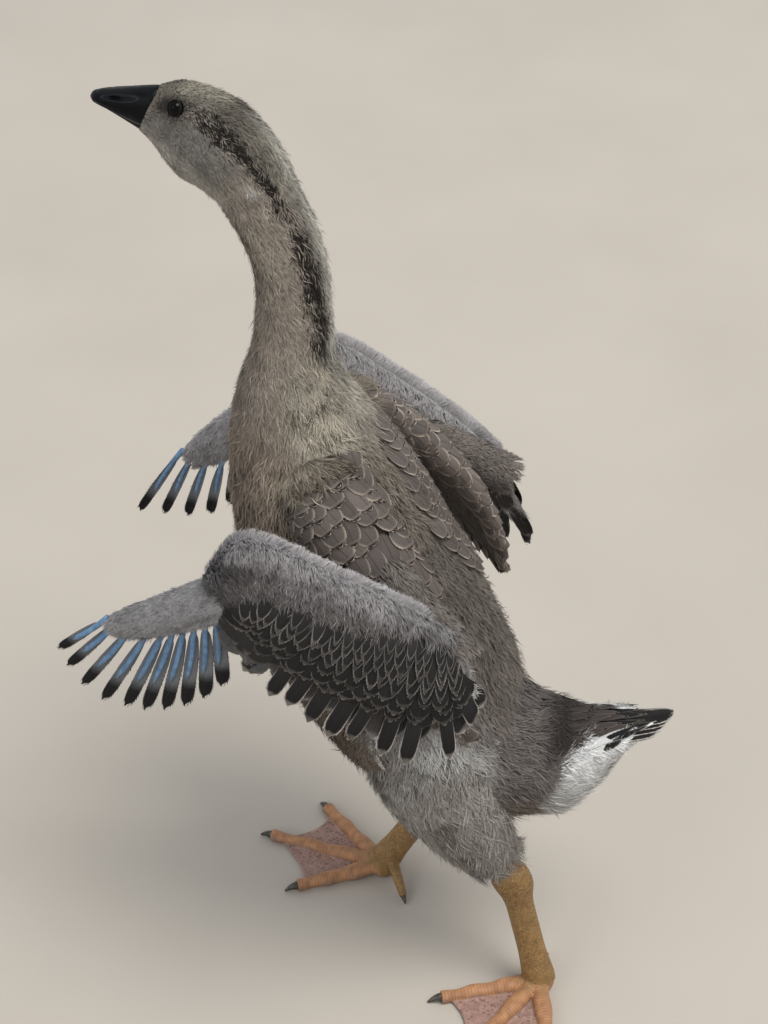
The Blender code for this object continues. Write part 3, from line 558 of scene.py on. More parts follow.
def vane_arrays(patch, u, v, flow, L, W, low, high, arch, kind, rows=9, cols=7,
                col=None, col_tip=None, col2=None, fw=0.2, barbs=16, skew=0.0, loose=1.0,
                fade=(0.74, 0.55)):
    """Vanes lying on a patch.  low and high are their heights over it, root and tip."""
    n = len(u)
    S, du, dv, N = patch.frame(u, v)
    tu = unit(du)
    tv = unit(np.cross(tu, N))
    tv = tv * np.sign((tv * dv).sum(1))[:, None]
    T = unit(tu * np.cos(flow)[:, None] + tv * np.sin(flow)[:, None])
    B = unit(np.cross(N, T))
    t = np.linspace(0, 1, rows)
    x = np.linspace(-1, 1, cols)
    tt, xx = np.meshgrid(t, x, indexing="ij")
    tt, xx = tt.ravel(), xx.ravel()
    ww = outline(tt, kind)
    faces = []
    for i in range(rows - 1):
        for j in range(cols - 1):
            a = i * cols + j
            faces += [(a, a + 1, a + cols + 1), (a, a + cols + 1, a + cols)]
    base = len(tt)
    # loose barbs that fray the rim
    ex_t, ex_x, ex_out, bf = [], [], [], []
    for k in range(barbs):
        s = (k + 0.5) / barbs * 2 - 1
        bt = 1 - 0.46 * abs(s) ** 1.4
        sg = 1 if s > 0 else -1
        for j, (off, out) in enumerate(((-0.022, 0.0), (0.022, 0.0), (0.03, 1.0))):
            ex_t.append(min(1, bt + off * (1 if j < 2 else 1)))
            ex_x.append(sg * (0.97 if abs(s) > 0.12 else 0.97 * abs(s) / 0.12))
            ex_out.append(out)
        bf.append((base + 3 * k, base + 3 * k + 1, base + 3 * k + 2))
    ta = np.concatenate([tt, ex_t]) if barbs else tt
    xa = np.concatenate([xx, ex_x]) if barbs else xx
    oa = np.concatenate([0 * tt, ex_out]) if barbs else 0 * tt
    wa = outline(ta, kind)
    faces = np.array(faces + bf)
    m = len(ta)
    fray = loose * (0.0004 + 0.0009 * rng.random((n, m))) * oa[None]
    along = L[:, None] * ta[None] + fray * (0.35 + 0.65 * (ta > 0.9))[None]
    acr = W[:, None] * (wa * xa)[None] + fray * np.sign(xa)[None] * 0.8 + skew * L[:, None] * ta[None] ** 2
    D = T[:, None] * along[..., None] + B[:, None] * acr[..., None]
    guu = (du * du).sum(1)[:, None]
    guv = (du * dv).sum(1)[:, None]
    gvv = (dv * dv).sum(1)[:, None]
    bu = (D * du[:, None]).sum(2)
    bv = (D * dv[:, None]).sum(2)
    det = guu * gvv - guv * guv
    a, b = (bu * gvv - bv * guv) / det, (bv * guu - bu * guv) / det
    uu, vv = u[:, None] + a, v[:, None] + b
    over = np.clip(uu, *patch.u)
    if not patch.closed:
        vo = np.clip(vv, *patch.v)
    else:
        vo = vv
    S2, _, _, N2 = patch.frame(over.ravel(), vo.ravel())
    S2, N2 = S2.reshape(n, m, 3), N2.reshape(n, m, 3)
    # what runs past the patch's end goes straight on
    S2 = S2 + du[:, None] * (uu - over)[..., None] + dv[:, None] * (vv - vo)[..., None]
    h = low[:, None] * (1 - ta[None]) + high[:, None] * ta[None] + arch * np.sin(np.pi * ta)[None]
    h = h - W[:, None] * 0.10 * (xa * xa)[None] * wa[None] + 0.0002
    V = S2 + N2 * h[..., None]
    F = (np.arange(n)[:, None, None] * m + faces[None]).reshape(-1, 3)
    edge = (1 - np.abs(xa)) * wa * 1.5 + np.clip(fade[0] - ta, 0, 1) * fade[1]
    edge = np.minimum(edge, (1 - ta) * 2.2 + 0.0)
    g = np.exp(rng.normal(0, 0.07, n))[:, None, None]
    c = (col[:, None] * (1 - ta[None, :, None]) + (col_tip if col_tip is not None else col)[:, None]
         * ta[None, :, None]) * g
    c2 = np.repeat((col2 * g[:, 0])[:, None], m, 1)
    vane = np.repeat(np.stack([xa, ta, edge], 1)[None], n, 0)
    fwa = np.full((n, m), fw) if np.isscalar(fw) else np.repeat(fw[:, None], m, 1)
    return dict(V=V, F=faces, n=n, m=m, col=c, col2=c2, vane=vane, fw=fwa, ta=ta, xa=xa * wa)


def vanes_object(name, sets, mat):
    """Joins sets of vanes as one object, each vane with a cell of its own on the bake map."""
    V, F, c, c2, va, fw, uv = [], [], [], [], [], [], []
    total = sum(s["n"] for s in sets)
    side = int(math.ceil(math.sqrt(total)))
    base, idx = 0, 0
    for s in sets:
        n, m = s["n"], s["m"]
        V.append(s["V"].reshape(-1, 3))
        F.append((np.arange(n)[:, None, None] * m + s["F"][None]).reshape(-1, 3) + base)
        for lst, key, d in ((c, "col", 3), (c2, "col2", 3), (va, "vane", 3)):
            lst.append(s[key].reshape(-1, d))
        fw.append(s["fw"].ravel())
        k = idx + np.arange(n)
        cx, cy = (k % side) / side, (k // side) / side
        U = cx[:, None] + (0.5 + 0.44 * s["xa"][None]) / side
        W = cy[:, None] + (0.04 + 0.90 * np.clip(s["ta"], 0, 1.02)[None]) / side
        uv.append(np.stack([U, W], 2).reshape(-1, 2))
        base += n * m
        idx += n
    ob = tri_object(name, np.concatenate(V), np.concatenate(F), mat, col=np.concatenate(c),
                    col2=np.concatenate(c2), vane=np.concatenate(va), fw=np.concatenate(fw),
                    uv=np.concatenate(uv))
    return ob


def const(n, c):
    return np.repeat(np.asarray(c, float)[None], n, 0)


# ------------------------------------------------------------------ markings of the body
def body_marks(s, a, P):
    """Root and tip colours of the down at a place on head, neck and trunk."""
    d = np.degrees(np.abs((a + np.pi) % (2 * np.pi) - np.pi))       # 0 back, 180 belly
    n = len(s)
    nz, nz2 = ripple(P, 0.022, 0), ripple(P, 0.009, 2)
    root = const(n, lin(118, 106, 92))
    tip = const(n, lin(166, 153, 135))

    def lay(mask, r, t):
        nonlocal root, tip
        root, tip = mix(root, lin(*r), mask), mix(tip, lin(*t), mask)
    # neck: front a shade greyer, nape with pale tips
    lay(step(d, 110, 160) * step(s, 3, 6), (95, 85, 75), (126, 114, 100))
    lay((1 - step(d, 22, 40)) * step(s, 3.4, 5.0), (80, 73, 64), (140, 134, 120))
    # head: cap, cheek, lores, throat
    line = np.interp(s, [0.0, 1.0, 2.08, 2.78, 3.55, 4.35, 5.2, 6.7, 7.5, 8.3, 9.4, 10.4, 11.4],
                     [62, 58, 51, 56, 59, 54, 50, 46, 44, 41, 36, 33, 34])
    head = 1 - step(s, 4.2, 5.6)
    cap = head * (1 - step(d, line - 4, line + 5))
    lay(cap, (102, 94, 80), (192, 182, 158))
    lay(cap * step(s, 1.9, 3.3), (82, 75, 65), (146, 139, 123))
    lay(cap * step(d, 10, 30) * step(s, 0.9, 1.5) * 0.55, (72, 64, 56), (110, 101, 88))
    lay(cap * np.exp(-((s - 2.65) / 0.50) ** 2) * 0.75, (66, 60, 53), (104, 97, 86))
    lay(cap * step(s, 1.7, 3.0) * (rng.random(n) < 0.16), (44, 38, 33), (74, 66, 57))
    lay((1 - step(d, 8, 22)) * step(s, 2.6, 3.8) * (1 - step(s, 10.5, 12.5)) * 0.85, (112, 106, 94), (200, 195, 180))
    lay(head * (1 - step(s, 0.2, 1.3)) * (1 - step(d, 60, 80)), (80, 72, 62), (132, 121, 106))
    cheek = (1 - step(s, 3.2, 4.8)) * step(d, line + 6, line + 20) * (1 - step(d, 104, 130))
    lay(cheek, (100, 96, 89), (128, 123, 114))
    mask = np.exp(-np.abs((s - 1.20) / 0.62) ** 2.5 - np.abs((d - 58) / 25) ** 2.5)
    lay(np.clip(mask, 0, 1) * 0.75, (58, 51, 46), (88, 80, 71))
    lores = np.exp(-((s - 0.62) / 0.46) ** 2 - ((d - 59) / 18) ** 2)
    lay(np.clip(lores * 1.25, 0, 1), (36, 32, 29), (52, 47, 42))
    fleck = np.exp(-((s - 1.90) / 0.55) ** 2 - ((d - 50) / 14) ** 2)
    lay(np.clip(fleck * 1.2, 0, 1) * (rng.random(n) < 0.72), (40, 33, 28), (68, 59, 51))
    lay(fleck * (rng.random(n) < 0.22), (120, 112, 100), (214, 206, 190))
    spot = np.exp(-((s - 4.85) / 0.24) ** 2 - ((d - 77) / 7) ** 2)
    lay(np.clip(spot * 1.2, 0, 1), (150, 145, 135), (190, 186, 176))
    lay(step(d, 104, 130) * (1 - step(s, 4, 6)), (124, 117, 106), (172, 164, 151))
    # the dark line from behind the eye down the side of the nape
    width = np.interp(s, [1.6, 2.3, 2.9, 3.5, 4.3, 5.0, 6.0, 8.5, 10.5, 12], [11, 14, 14, 11, 11, 10, 11, 17, 14, 6])
    on = step(s, 1.55, 2.05) * (1 - step(s, 10.4, 11.8))
    gap = (1 - 0.45 * np.exp(-((s - 3.70) / 0.36) ** 2) - 0.50 * np.exp(-((s - 2.0) / 0.55) ** 2)
           - 0.55 * np.exp(-((s - 6.0) / 0.4) ** 2))
    dark = np.exp(-(np.abs(d - line - 2 * nz) / width) ** 2.6) * on * gap
    strand = (rng.random(n) < np.clip(dark * 1.50 * (0.85 + 0.50 * nz2), 0, 0.94)) * 1.0
    lay(strand, (20, 15, 13), (38, 30, 25))
    # lower neck: fuzzy olive-beige with dark streaks at the back of the sides
    low = step(s, 10.5, 12.5) * (1 - step(s, 14.6, 15.6)) * (1 - step(d, 82, 100)) * step(d, 22, 34)
    lay(low, (112, 103, 88), (182, 172, 150))
    lay(low * (nz2 > 0.55) * 0.8, (44, 36, 26), (66, 56, 40))
    # chest
    chest = step(s, 12.6, 14.5) * step(d, 72, 100)
    lay(chest, (99, 84, 71), (136, 119, 101))
    pale = np.exp(-((s - 14.9) / 0.75) ** 2 - ((d - 103) / 17) ** 2)
    lay(np.clip(pale, 0, 1), (138, 120, 100), (178, 160, 136))
    streak = step(s, 13.6, 15.0) * (1 - step(s, 16.8, 18.0)) * step(d, 128, 146)
    lay(streak * (ripple(P * np.array([1, 1, 0.25]), 0.007, 3) > 0.35) * 0.85, (52, 42, 28), (92, 78, 52))
    # painted shade: a dark crease where the neck's base meets the shoulder
    crease = np.exp(-((s - 15.3) / 0.42) ** 2 - ((d - 84) / 7) ** 2)
    lay(np.clip(crease * 1.1, 0, 1), (34, 28, 24), (60, 50, 42))
    # the pale mane's end runs onto the first of the back
    mane = step(s, 11.6, 13.0) * (1 - step(s, 14.6, 15.8)) * (1 - step(d, 16, 36))
    lay(mane * 0.75, (126, 118, 104), (186, 176, 156))
    # belly and lower breast: dark brown and shaggy
    belly = step(s, 16.0, 18.6) * step(d + 9 * nz, 94, 134) * (1 - step(s + 0.5 * nz, 19.9, 21.6))
    lay(belly, (48, 38, 30), (80, 65, 50))
    # back ridge, sides, rump
    ridge = step(s, 13.6, 15.2) * (1 - step(d, 30, 46)) * (1 - step(s, 20.4, 22.4))
    lay(ridge, (84, 75, 64), (134, 123, 107))
    lay(ridge * step(s, 15.6, 17.2), (72, 64, 57), (116, 106, 96))
    sides = step(s, 16.0, 18.5) * step(d, 30, 48) * (1 - step(d, 96, 112))
    lay(sides, (74, 67, 62), (114, 104, 98))
    rump = step(s, 20.4, 21.8) * (1 - step(d, 96, 118))
    lay(rump, (82, 74, 70), (120, 110, 104))
    flank = np.exp(-((s - 19.9) / 0.90) ** 2 - ((d - 80) / 20) ** 2)
    lay(np.clip(flank * 1.4, 0, 1), (146, 143, 137), (204, 202, 196))
    base = step(s, 22.4, 23.1) * (1 - step(d, 50, 72)) * (1 - 0.45 * step(s, 23.8, 24.4))
    lay(base, (40, 34, 31), (66, 58, 53))
    edge = np.interp(s, [21.2, 21.8, 22.4, 23.0, 23.3, 24.1, 25.0, 26.0],
                     [172, 146, 120, 92, 70, 38, 26, 26]) + 5 * nz
    vent = step(d, edge - 7, edge + 7) * step(s, 20.9, 21.9)
    lay(vent, (202, 201, 198), (232, 231, 228))
    lay(vent * (1 - step(s, 22.4, 23.4)), (140, 137, 131), (196, 193, 186))
    tone = (1 + 0.10 * nz)[:, None]
    return greyer(root * tone, 0.22), greyer(tip * tone, 0.22)


def body_depth(s, a):
    d = np.degrees(np.abs((a + np.pi) % (2 * np.pi) - np.pi))
    base = np.interp(s, [0, 0.6, 2, 4, 6, 9, 12, 14, 17, 21, 23, 24.6, 26],
                     [.0006, .0016, .0030, .0040, .0050, .0056, .0064, .0076, .0092, .0088, .0070, .0045, .0015])
    base = base * (1 - 0.40 * step(d, 45, 65) * (1 - step(d, 130, 150)) * (1 - step(s, 3.4, 5.0)))
    return base


_, _, _, eye_n = BODY.frame(np.array([1.35]), np.array([math.radians(62)]))
EYE_AXIS = unit(eye_n[0] + np.array([0, -0.12, 0.0]))
EYE_FORE = unit(np.array([0, -1, 0.15]) - EYE_AXIS * (np.array([0, -1, 0.15]) @ EYE_AXIS))
EYE_UP = np.cross(EYE_AXIS, EYE_FORE)
EYE_UP = EYE_UP if EYE_UP[2] > 0 else -EYE_UP


def near_eye(P):
    """Distance from the axis of the nearer eye, in metres, shorter up and down."""
    q = P - SHIFT
    q = np.stack([np.abs(q[:, 0]), q[:, 1], q[:, 2]], 1) - np.array(EYE_CENTRE)
    return np.hypot(q @ EYE_FORE, (q @ EYE_UP) / 1.18)


def body_flow(s, a, P):
    """Lie of the coat: tailwards, sinking to the belly on the sides, with soft swirls."""
    sg = np.where(((a + np.pi) % (2 * np.pi) - np.pi) > 0, 1.0, -1.0)
    d = np.abs((a + np.pi) % (2 * np.pi) - np.pi)
    side = np.sin(d)
    base = np.interp(s, [0, 2, 4, 7, 12, 15, 18, 21, 24, 26],
                     [0.10, 0.30, 0.15, -0.30, -0.35, 0.10, 0.35, 0.45, 0.15, 0.0])
    return sg * base * side + 0.28 * ripple(P, 0.035, 2) + 0.20 * ripple(P, 0.012, 0)


def body_coat(name, lo, hi, count, L, W, rise, fine, clump, keep=None, extra=1.0,
              jitter=0.12, every=14, curl=0.25, wisp=0.035):
    def density(u, v, p):
        w = ((u >= lo) & (u <= hi)) * 1.0
        if hi <= 6:
            w = w * step(near_eye(p), 0.0042, 0.0047) * (1.0 + 0.9 * (1 - step(u, 0.5, 3.0)))
        return w if keep is None else w * keep(u, v, p)
    u, v = BODY.scatter(int(count * SHARE), density, nu=1040, nv=128)
    P = BODY.place(u, v)
    r, t = body_marks(u, v, P)
    dep = body_depth(u, v)
    wide = 1.0 / math.sqrt(SHARE)
    return coat(name, BODY, u, v, dep, body_flow(u, v, P) + rng.normal(0, 0.12, len(u)),
                L(u, v, P), W(u, v, P) * wide, dep * rise(u, v, P), r, t, DOWN,
                fine=fine, clump=clump, jitter=jitter, clump_every=every, curl=curl, wisp=wisp)


def back_deg(v):
    return np.degrees(np.abs((v + np.pi) % (2 * np.pi) - np.pi))


# ------------------------------------------------------------------ coats
body_coat("coat_head", 0.0, 5.0, 56000,
          lambda u, v, p: np.interp(u, [0, .4, 1.5, 3, 5], [.0022, .0030, .0046, .0072, .0092])
          * (1 - 0.30 * step(back_deg(v), 50, 70) * (1 - step(u, 3, 4.6)))
          * (0.45 + 0.55 * step(near_eye(p), .0048, .0110)),
          lambda u, v, p: np.interp(u, [0, 1.5, 5], [.00036, .00042, .00050]),
          lambda u, v, p: 0.85 + 0.55 * (1 - step(back_deg(v), 30, 56)), True, 0.5,
          jitter=0.15)
body_coat("coat_neck", 5.0, 14.3, 82500,
          lambda u, v, p: np.interp(u, [5, 8, 12, 14], [.0092, .0105, .0125, .0140]),
          lambda u, v, p: np.interp(u, [5, 14], [.00050, .00062]),
          lambda u, v, p: 0.90 + 0.48 * (1 - step(back_deg(v), 30, 60)) * (1 - step(u, 11.0, 13.6)), True, 0.60,
          jitter=0.15, every=16)
body_coat("coat_trunk", 13.8, 22.6, 122000,
          lambda u, v, p: np.interp(u, [14, 17, 22], [.0140, .0150, .0150])
          * (1 + 0.55 * step(back_deg(v), 105, 130) * step(u, 16, 18)),
          lambda u, v, p: np.interp(u, [14, 16, 22], [.00068, .00082, .00082]),
          lambda u, v, p: 0.92 + 0.0 * u, True, 0.42, jitter=0.10, every=14)
body_coat("coat_rump", 22.6, 25.6, 26000,
          lambda u, v, p: np.interp(u, [22.6, 24.0, 26], [.0170, .0150, .0110]),
          lambda u, v, p: 0.00076 + 0 * u,
          lambda u, v, p: 1.0 + 0.35 * step(back_deg(v), 100, 140), True, 0.6,
          keep=lambda u, v, p: 1 - step(u, 23.9, 24.6) * (1 - step(back_deg(v), 52, 66)), jitter=0.12)


def thigh_coat(side):
    pt = THIGH[side]
    u, v = pt.scatter(int(26000 * SHARE), lambda u, v, p: (0.6 + 0.8 * u) * (u < 0.84), nu=200, nv=100)
    P, _, _, N = pt.frame(u, v)
    nz = ripple(P, 0.012, 1)
    r = const(len(u), lin(96, 90, 84))
    t = const(len(u), lin(152, 146, 138))
    big = ripple(P, 0.034, 0)
    white = np.clip(step(nz + 0.5 * big, 0.10, 0.85) * 0.85, 0, 1)
    r, t = mix(r, lin(118, 114, 108), white * 0.7), mix(t, lin(188, 184, 178), white)
    wisps = (rng.random(len(u)) < 0.06) * 1.0
    r, t = mix(r, lin(112, 107, 100), wisps), mix(t, lin(172, 168, 161), wisps)
    dusk = step(big + 0.4 * ripple(P * np.array([1, 1, 0.4]), 0.010, 2), 0.15, 0.9) * 0.72
    r, t = mix(r, lin(56, 48, 42), dusk * (1 - wisps)), mix(t, lin(88, 78, 68), dusk * (1 - wisps))
    low = step(u, 0.60, 0.84)
    r, t = mix(r, lin(62, 55, 50), low * 0.5), mix(t, lin(112, 104, 96), low * 0.4)
    dep = np.interp(u, [0, .7, .9, 1], [.0080, .0070, .0042, .0016])
    flow = 0.25 * ripple(P, 0.03, 3)
    L = np.interp(u, [0, .6, .84], [.0170, .0215, .0225]) * (1 + 0.20 * wisps)
    coat("coat_thigh_%s" % side, pt, u, v, dep, flow, L, 0.00080 / math.sqrt(SHARE) + 0 * u,
         dep * 0.90, r, t, DOWN, fine=True, clump=1.0, clump_every=26, jitter=0.15,
         wisp=0.03)


def forearm_coat(side):
    pt = FORE[side]

    def density(u, v, p):
        rag = 0.05 * ripple(p, 0.016, 2) + 0.03 * ripple(p, 0.006, 1)
        hem = np.interp(u, [0, .08, .25, .5, .8, .9, 1], [-.22, -.12, .04, .18, .42, .62, .66])
        outer = 1 - step(v + rag, hem - 0.05, hem + 0.08)
        inner = np.where(v < -2, 1 - step(-2 - v, 0.50, 0.72), 1.0)
        return outer * inner
    u, v = pt.scatter(int(35000 * SHARE), density, nu=220, nv=240)
    P, _, _, N = pt.frame(u, v)
    nz, nz2 = ripple(P, 0.018, 1), ripple(P, 0.008, 0)
    n = len(u)
    r, t = const(n, lin(126, 123, 123)), const(n, lin(168, 164, 163))
    tone = np.interp(u, [0, .15, .35, .55, .70, .85, 1], [0.88, 1.10, 1.24, 1.20, 1.08, .96, .76])[:, None]
    r, t = r * tone, t * tone
    smudge = step(nz + 0.4 * nz2, 0.00, 0.9) * (0.14 + 0.74 * step(u, 0.52, 0.82) * step(v, -0.9, -0.5))
    r, t = mix(r, lin(66, 62, 61), smudge), mix(t, lin(98, 94, 92), smudge)
    # pale along the front edge, dusky towards the coverts: partly the down's own colour, partly painted light,
    # lighter on the top of the edge and darker down the outer face
    dusk = np.interp(v + 0.10 * nz + 0.08 * nz2, [-0.85, -0.50, -0.22, 0.05], [0, 0.34, 0.78, 0.90])
    dusk = dusk * np.where(rng.random(n) < 0.14, 0.35, 1.0)
    r, t = mix(r, lin(56, 52, 50), dusk), mix(t, lin(92, 87, 84), dusk)
    inner = step(-v, 1.9, 2.2)
    r, t = mix(r, lin(110, 104, 100), inner), mix(t, lin(152, 146, 141), inner)
    if side == "R":
        # far wing only: painted shade, darker on the middle of the inner face, which faces the body
        dark = inner * step(u, 0.45, 0.7) * 0.9
        r, t = mix(r, lin(66, 56, 50), dark), mix(t, lin(96, 84, 76), dark)
    tuft = inner * np.exp(-((u - 0.10) / 0.10) ** 2) * step(-2 - v, 0.10, 0.3)
    r, t = mix(r, lin(190, 188, 184), tuft), mix(t, lin(232, 230, 228), tuft)
    hem = np.interp(u, [0, .08, .25, .5, .8, .9, 1], [-.22, -.12, .04, .18, .42, .62, .66])
    edge = step(v, hem - 0.12, hem + 0.02)
    r, t = mix(r, lin(74, 70, 68), edge * 0.7), mix(t, lin(128, 122, 117), edge * 0.5)
    dep = 0.0036 * np.where(v > 0, 1 - 0.4 * v, 1.0)
    # the down lies from the front edge backwards, down both faces, and towards the elbow
    flow = np.where(v > -1.0, 1.75, -1.75) + 0.35 * nz + 0.2 * nz2 + np.where(v > -1, 0.25, -0.25)
    L = 0.0078 + 0.0032 * edge + 0.002 * inner
    coat("coat_forearm_%s" % side, pt, u, v, dep, flow, L, 0.00050 / math.sqrt(SHARE) + 0 * u,
         dep * 1.1, r, t, DOWN_WING, fine=True, clump=0.30, clump_every=12, jitter=0.06,
         wisp=0.02, wisp_rise=1.3)


def hand_coat(side):
    pt = HAND[side]
    u, v = pt.scatter(int(12000 * SHARE), lambda u, v, p: 1.0 + 0 * u, nu=160, nv=100)
    P, _, _, N = pt.frame(u, v)
    nz = ripple(P, 0.012, 1)
    n = len(u)
    r, t = const(n, lin(116, 114, 114)), const(n, lin(160, 158, 158))
    dark = step(nz, 0.1, 0.8) * 0.5
    r, t = mix(r, lin(70, 67, 66), dark), mix(t, lin(112, 109, 107), dark)
    dep = 0.0028 * np.interp(u, [0, .85, 1], [1, .8, .35])
    low = step(-np.sin(v), 0.2, 0.8)
    flow = 0.45 * np.where(np.cos(v) > 0, -1, 1) * (0.6 + 0.6 * low) + 0.25 * nz
    L = np.interp(u, [0, .8, 1], [.0085, .0080, .0055])
    coat("coat_hand_%s" % side, pt, u, v, dep, flow, L, 0.00050 / math.sqrt(SHARE) + 0 * u,
         dep * 1.1, r, t, DOWN_WING, fine=True, clump=0.4, jitter=0.06, wisp=0.02,
         wisp_rise=1.3)


def upper_coat(side):
    pt = CAPE[side]
    # under side and rims of the cape: dark soft down
    u, v = pt.scatter(int(7000 * SHARE), lambda u, v, p: step(-np.sin(v), 0.45, 0.75), nu=100, nv=80)
    P = pt.place(u, v)
    n = len(u)
    nz = ripple(P, 0.012, 1)
    r, t = const(n, lin(80, 72, 66)), const(n, lin(116, 106, 98))
    dep = np.interp(u, [0, .6, 1], [.0030, .0022, .0006])
    coat("coat_cape_%s" % side, pt, u, v, dep, 0.3 * nz, 0.0100 * np.interp(u, [0, .8, 1], [1, .8, .4]),
         0.0008 / math.sqrt(SHARE) + 0 * u, dep * 0.9, r, t, DOWN, fine=True,
         clump=0.5)
    # the shoulder's down laps over the first feathers
    u, v = pt.scatter(int(3000 * SHARE), lambda u, v, p: (1 - step(u + 0.03 * ripple(p, 0.008, 2), 0.015, 0.095))
                      * (1.2 - u), nu=160, nv=90)
    P = pt.place(u, v)
    n = len(u)
    nz = ripple(P, 0.012, 1)
    r, t = const(n, lin(84, 76, 66)), const(n, lin(138, 129, 113))
    dusk = step(nz, 0.1, 0.6) * 0.8
    r, t = mix(r, lin(50, 43, 37), dusk), mix(t, lin(78, 69, 60), dusk)
    coat("coat_shoulder_%s" % side, pt, u, v, 0.0004 + 0 * u, 0.55 * nz, 0.0145 + 0 * u,
         0.0008 / math.sqrt(SHARE) + 0 * u, 0.0056 + 0 * u, r, t, DOWN, fine=True,
         clump=0.7, jitter=0.2, wisp=0.1)
    pt = UPPER[side]
    away = np.array([0.80 * SIGN[side], 0.42, 0.42])
    u, v = pt.scatter(int(6500 * SHARE), lambda u, v, p: ((pt.frame(u, v)[3] @ away < -0.15) | (u > 0.42)) * 1.0,
                      nu=100, nv=80)
    P = pt.place(u, v)
    n = len(u)
    nz = ripple(P, 0.012, 1)
    r, t = const(n, lin(86, 79, 74)), const(n, lin(126, 118, 111))
    coat("coat_upper_%s" % side, pt, u, v, 0.0035 + 0 * u, 0.3 * nz, 0.0100 + 0 * u,
         0.0008 / math.sqrt(SHARE) + 0 * u, 0.0032 + 0 * u, r, t, DOWN, fine=True, clump=0.5)


for side in "LR":
    thigh_coat(side)
    forearm_coat(side)
    hand_coat(side)
    upper_coat(side)


# ------------------------------------------------------------------ shoulder feathers
def cape_feathers(side):
    pt = CAPE[side]
    sets = []
    rows = 19
    for k in range(rows):
        f = k / (rows - 1)
        uu = 0.90 * f ** 0.98
        count = int(round(np.interp(f, [0, .12, .5, .8, 1], [7, 10, 10, 8, 6])))
        gapd = 280 / count
        ang = np.radians(-50 + gapd * (np.arange(count) + (0.72 if k % 2 else 0.28)))
        ang = ang + rng.normal(0, 0.075, count)
        u = np.clip(np.full(count, uu) + rng.normal(0, 0.008, count), 0.003, 0.99)
        L = np.interp(f, [0, .3, .7, 1], [.0180, .0235, .0275, .0285]) * (1 + rng.normal(0, .07, count))
        W = np.interp(f, [0, .3, .7, 1], [.0066, .0081, .0079, .0064]) * (1 + rng.normal(0, .08, count))
        # painted light: the far cape's feathers are made 1.4 times lighter than the near cape's
        far_cape_painted_light = 1.0 if side == "L" else 1.40
        c = const(count, lin(92, 84, 79) * far_cape_painted_light) * (1 + 0.14 * rng.normal(size=(count, 1)))
        ct = c * 0.74
        c2 = const(count, lin(148, 136, 124) * far_cape_painted_light) * (1 + 0.12 * rng.normal(size=(count, 1)))
        low = np.full(count, -0.0018)
        high = np.full(count, 0.0034) * (1 + 0.14 * rng.normal(size=count))
        sets.append(vane_arrays(pt, u, ang, 0.10 * np.cos(ang) + rng.normal(0, .09, count), L, W,
                                low, high, 0.0003, "round", rows=8, cols=7, col=c, col_tip=ct, col2=c2,
                                fw=0.34, barbs=12, loose=0.5))
    # the innermost rows lie on the back; the wing raised higher spreads them to its ridge
    for k in range(15):
        s0 = 14.35 + 3.05 * k / 14
        if side == "R":
            d = np.linspace(np.interp(s0, [14.4, 15.5, 16.5, 17.4], [-6, 6, 2, -10]), -50, 6)
            d = d + (4.6 if k % 2 else 0)
        else:
            d = np.array([38.0, 49.0]) + (5 if k % 2 else 0)
        n = len(d)
        L = np.full(n, np.interp(s0, [14.4, 15.5, 17.4], [.0200, .0250, .0290])) * (1 + rng.normal(0, .06, n))
        W = np.full(n, np.interp(s0, [14.4, 15.5, 17.4], [.0066, .0080, .0086])) * (1 + rng.normal(0, .06, n))
        c = const(n, lin(94, 86, 81)) * (1 + 0.12 * rng.normal(size=(n, 1)))
        c2 = const(n, lin(150, 139, 128)) * (1 + 0.10 * rng.normal(size=(n, 1)))
        sets.append(vane_arrays(BODY, np.full(n, s0) + rng.normal(0, .03, n), np.radians(d),
                                -SIGN[side] * (-0.14) + rng.normal(0, .07, n), L, W, np.full(n, -0.0032),
                                np.full(n, 0.0040) * (1 + 0.12 * rng.normal(size=n)), 0.0004, "round",
                                rows=8, cols=7, col=c, col_tip=c * 0.72, col2=c2, fw=0.33, barbs=12,
                                loose=0.5))
    return vanes_object("feathers_cape_%s" % side, sets, VANE)


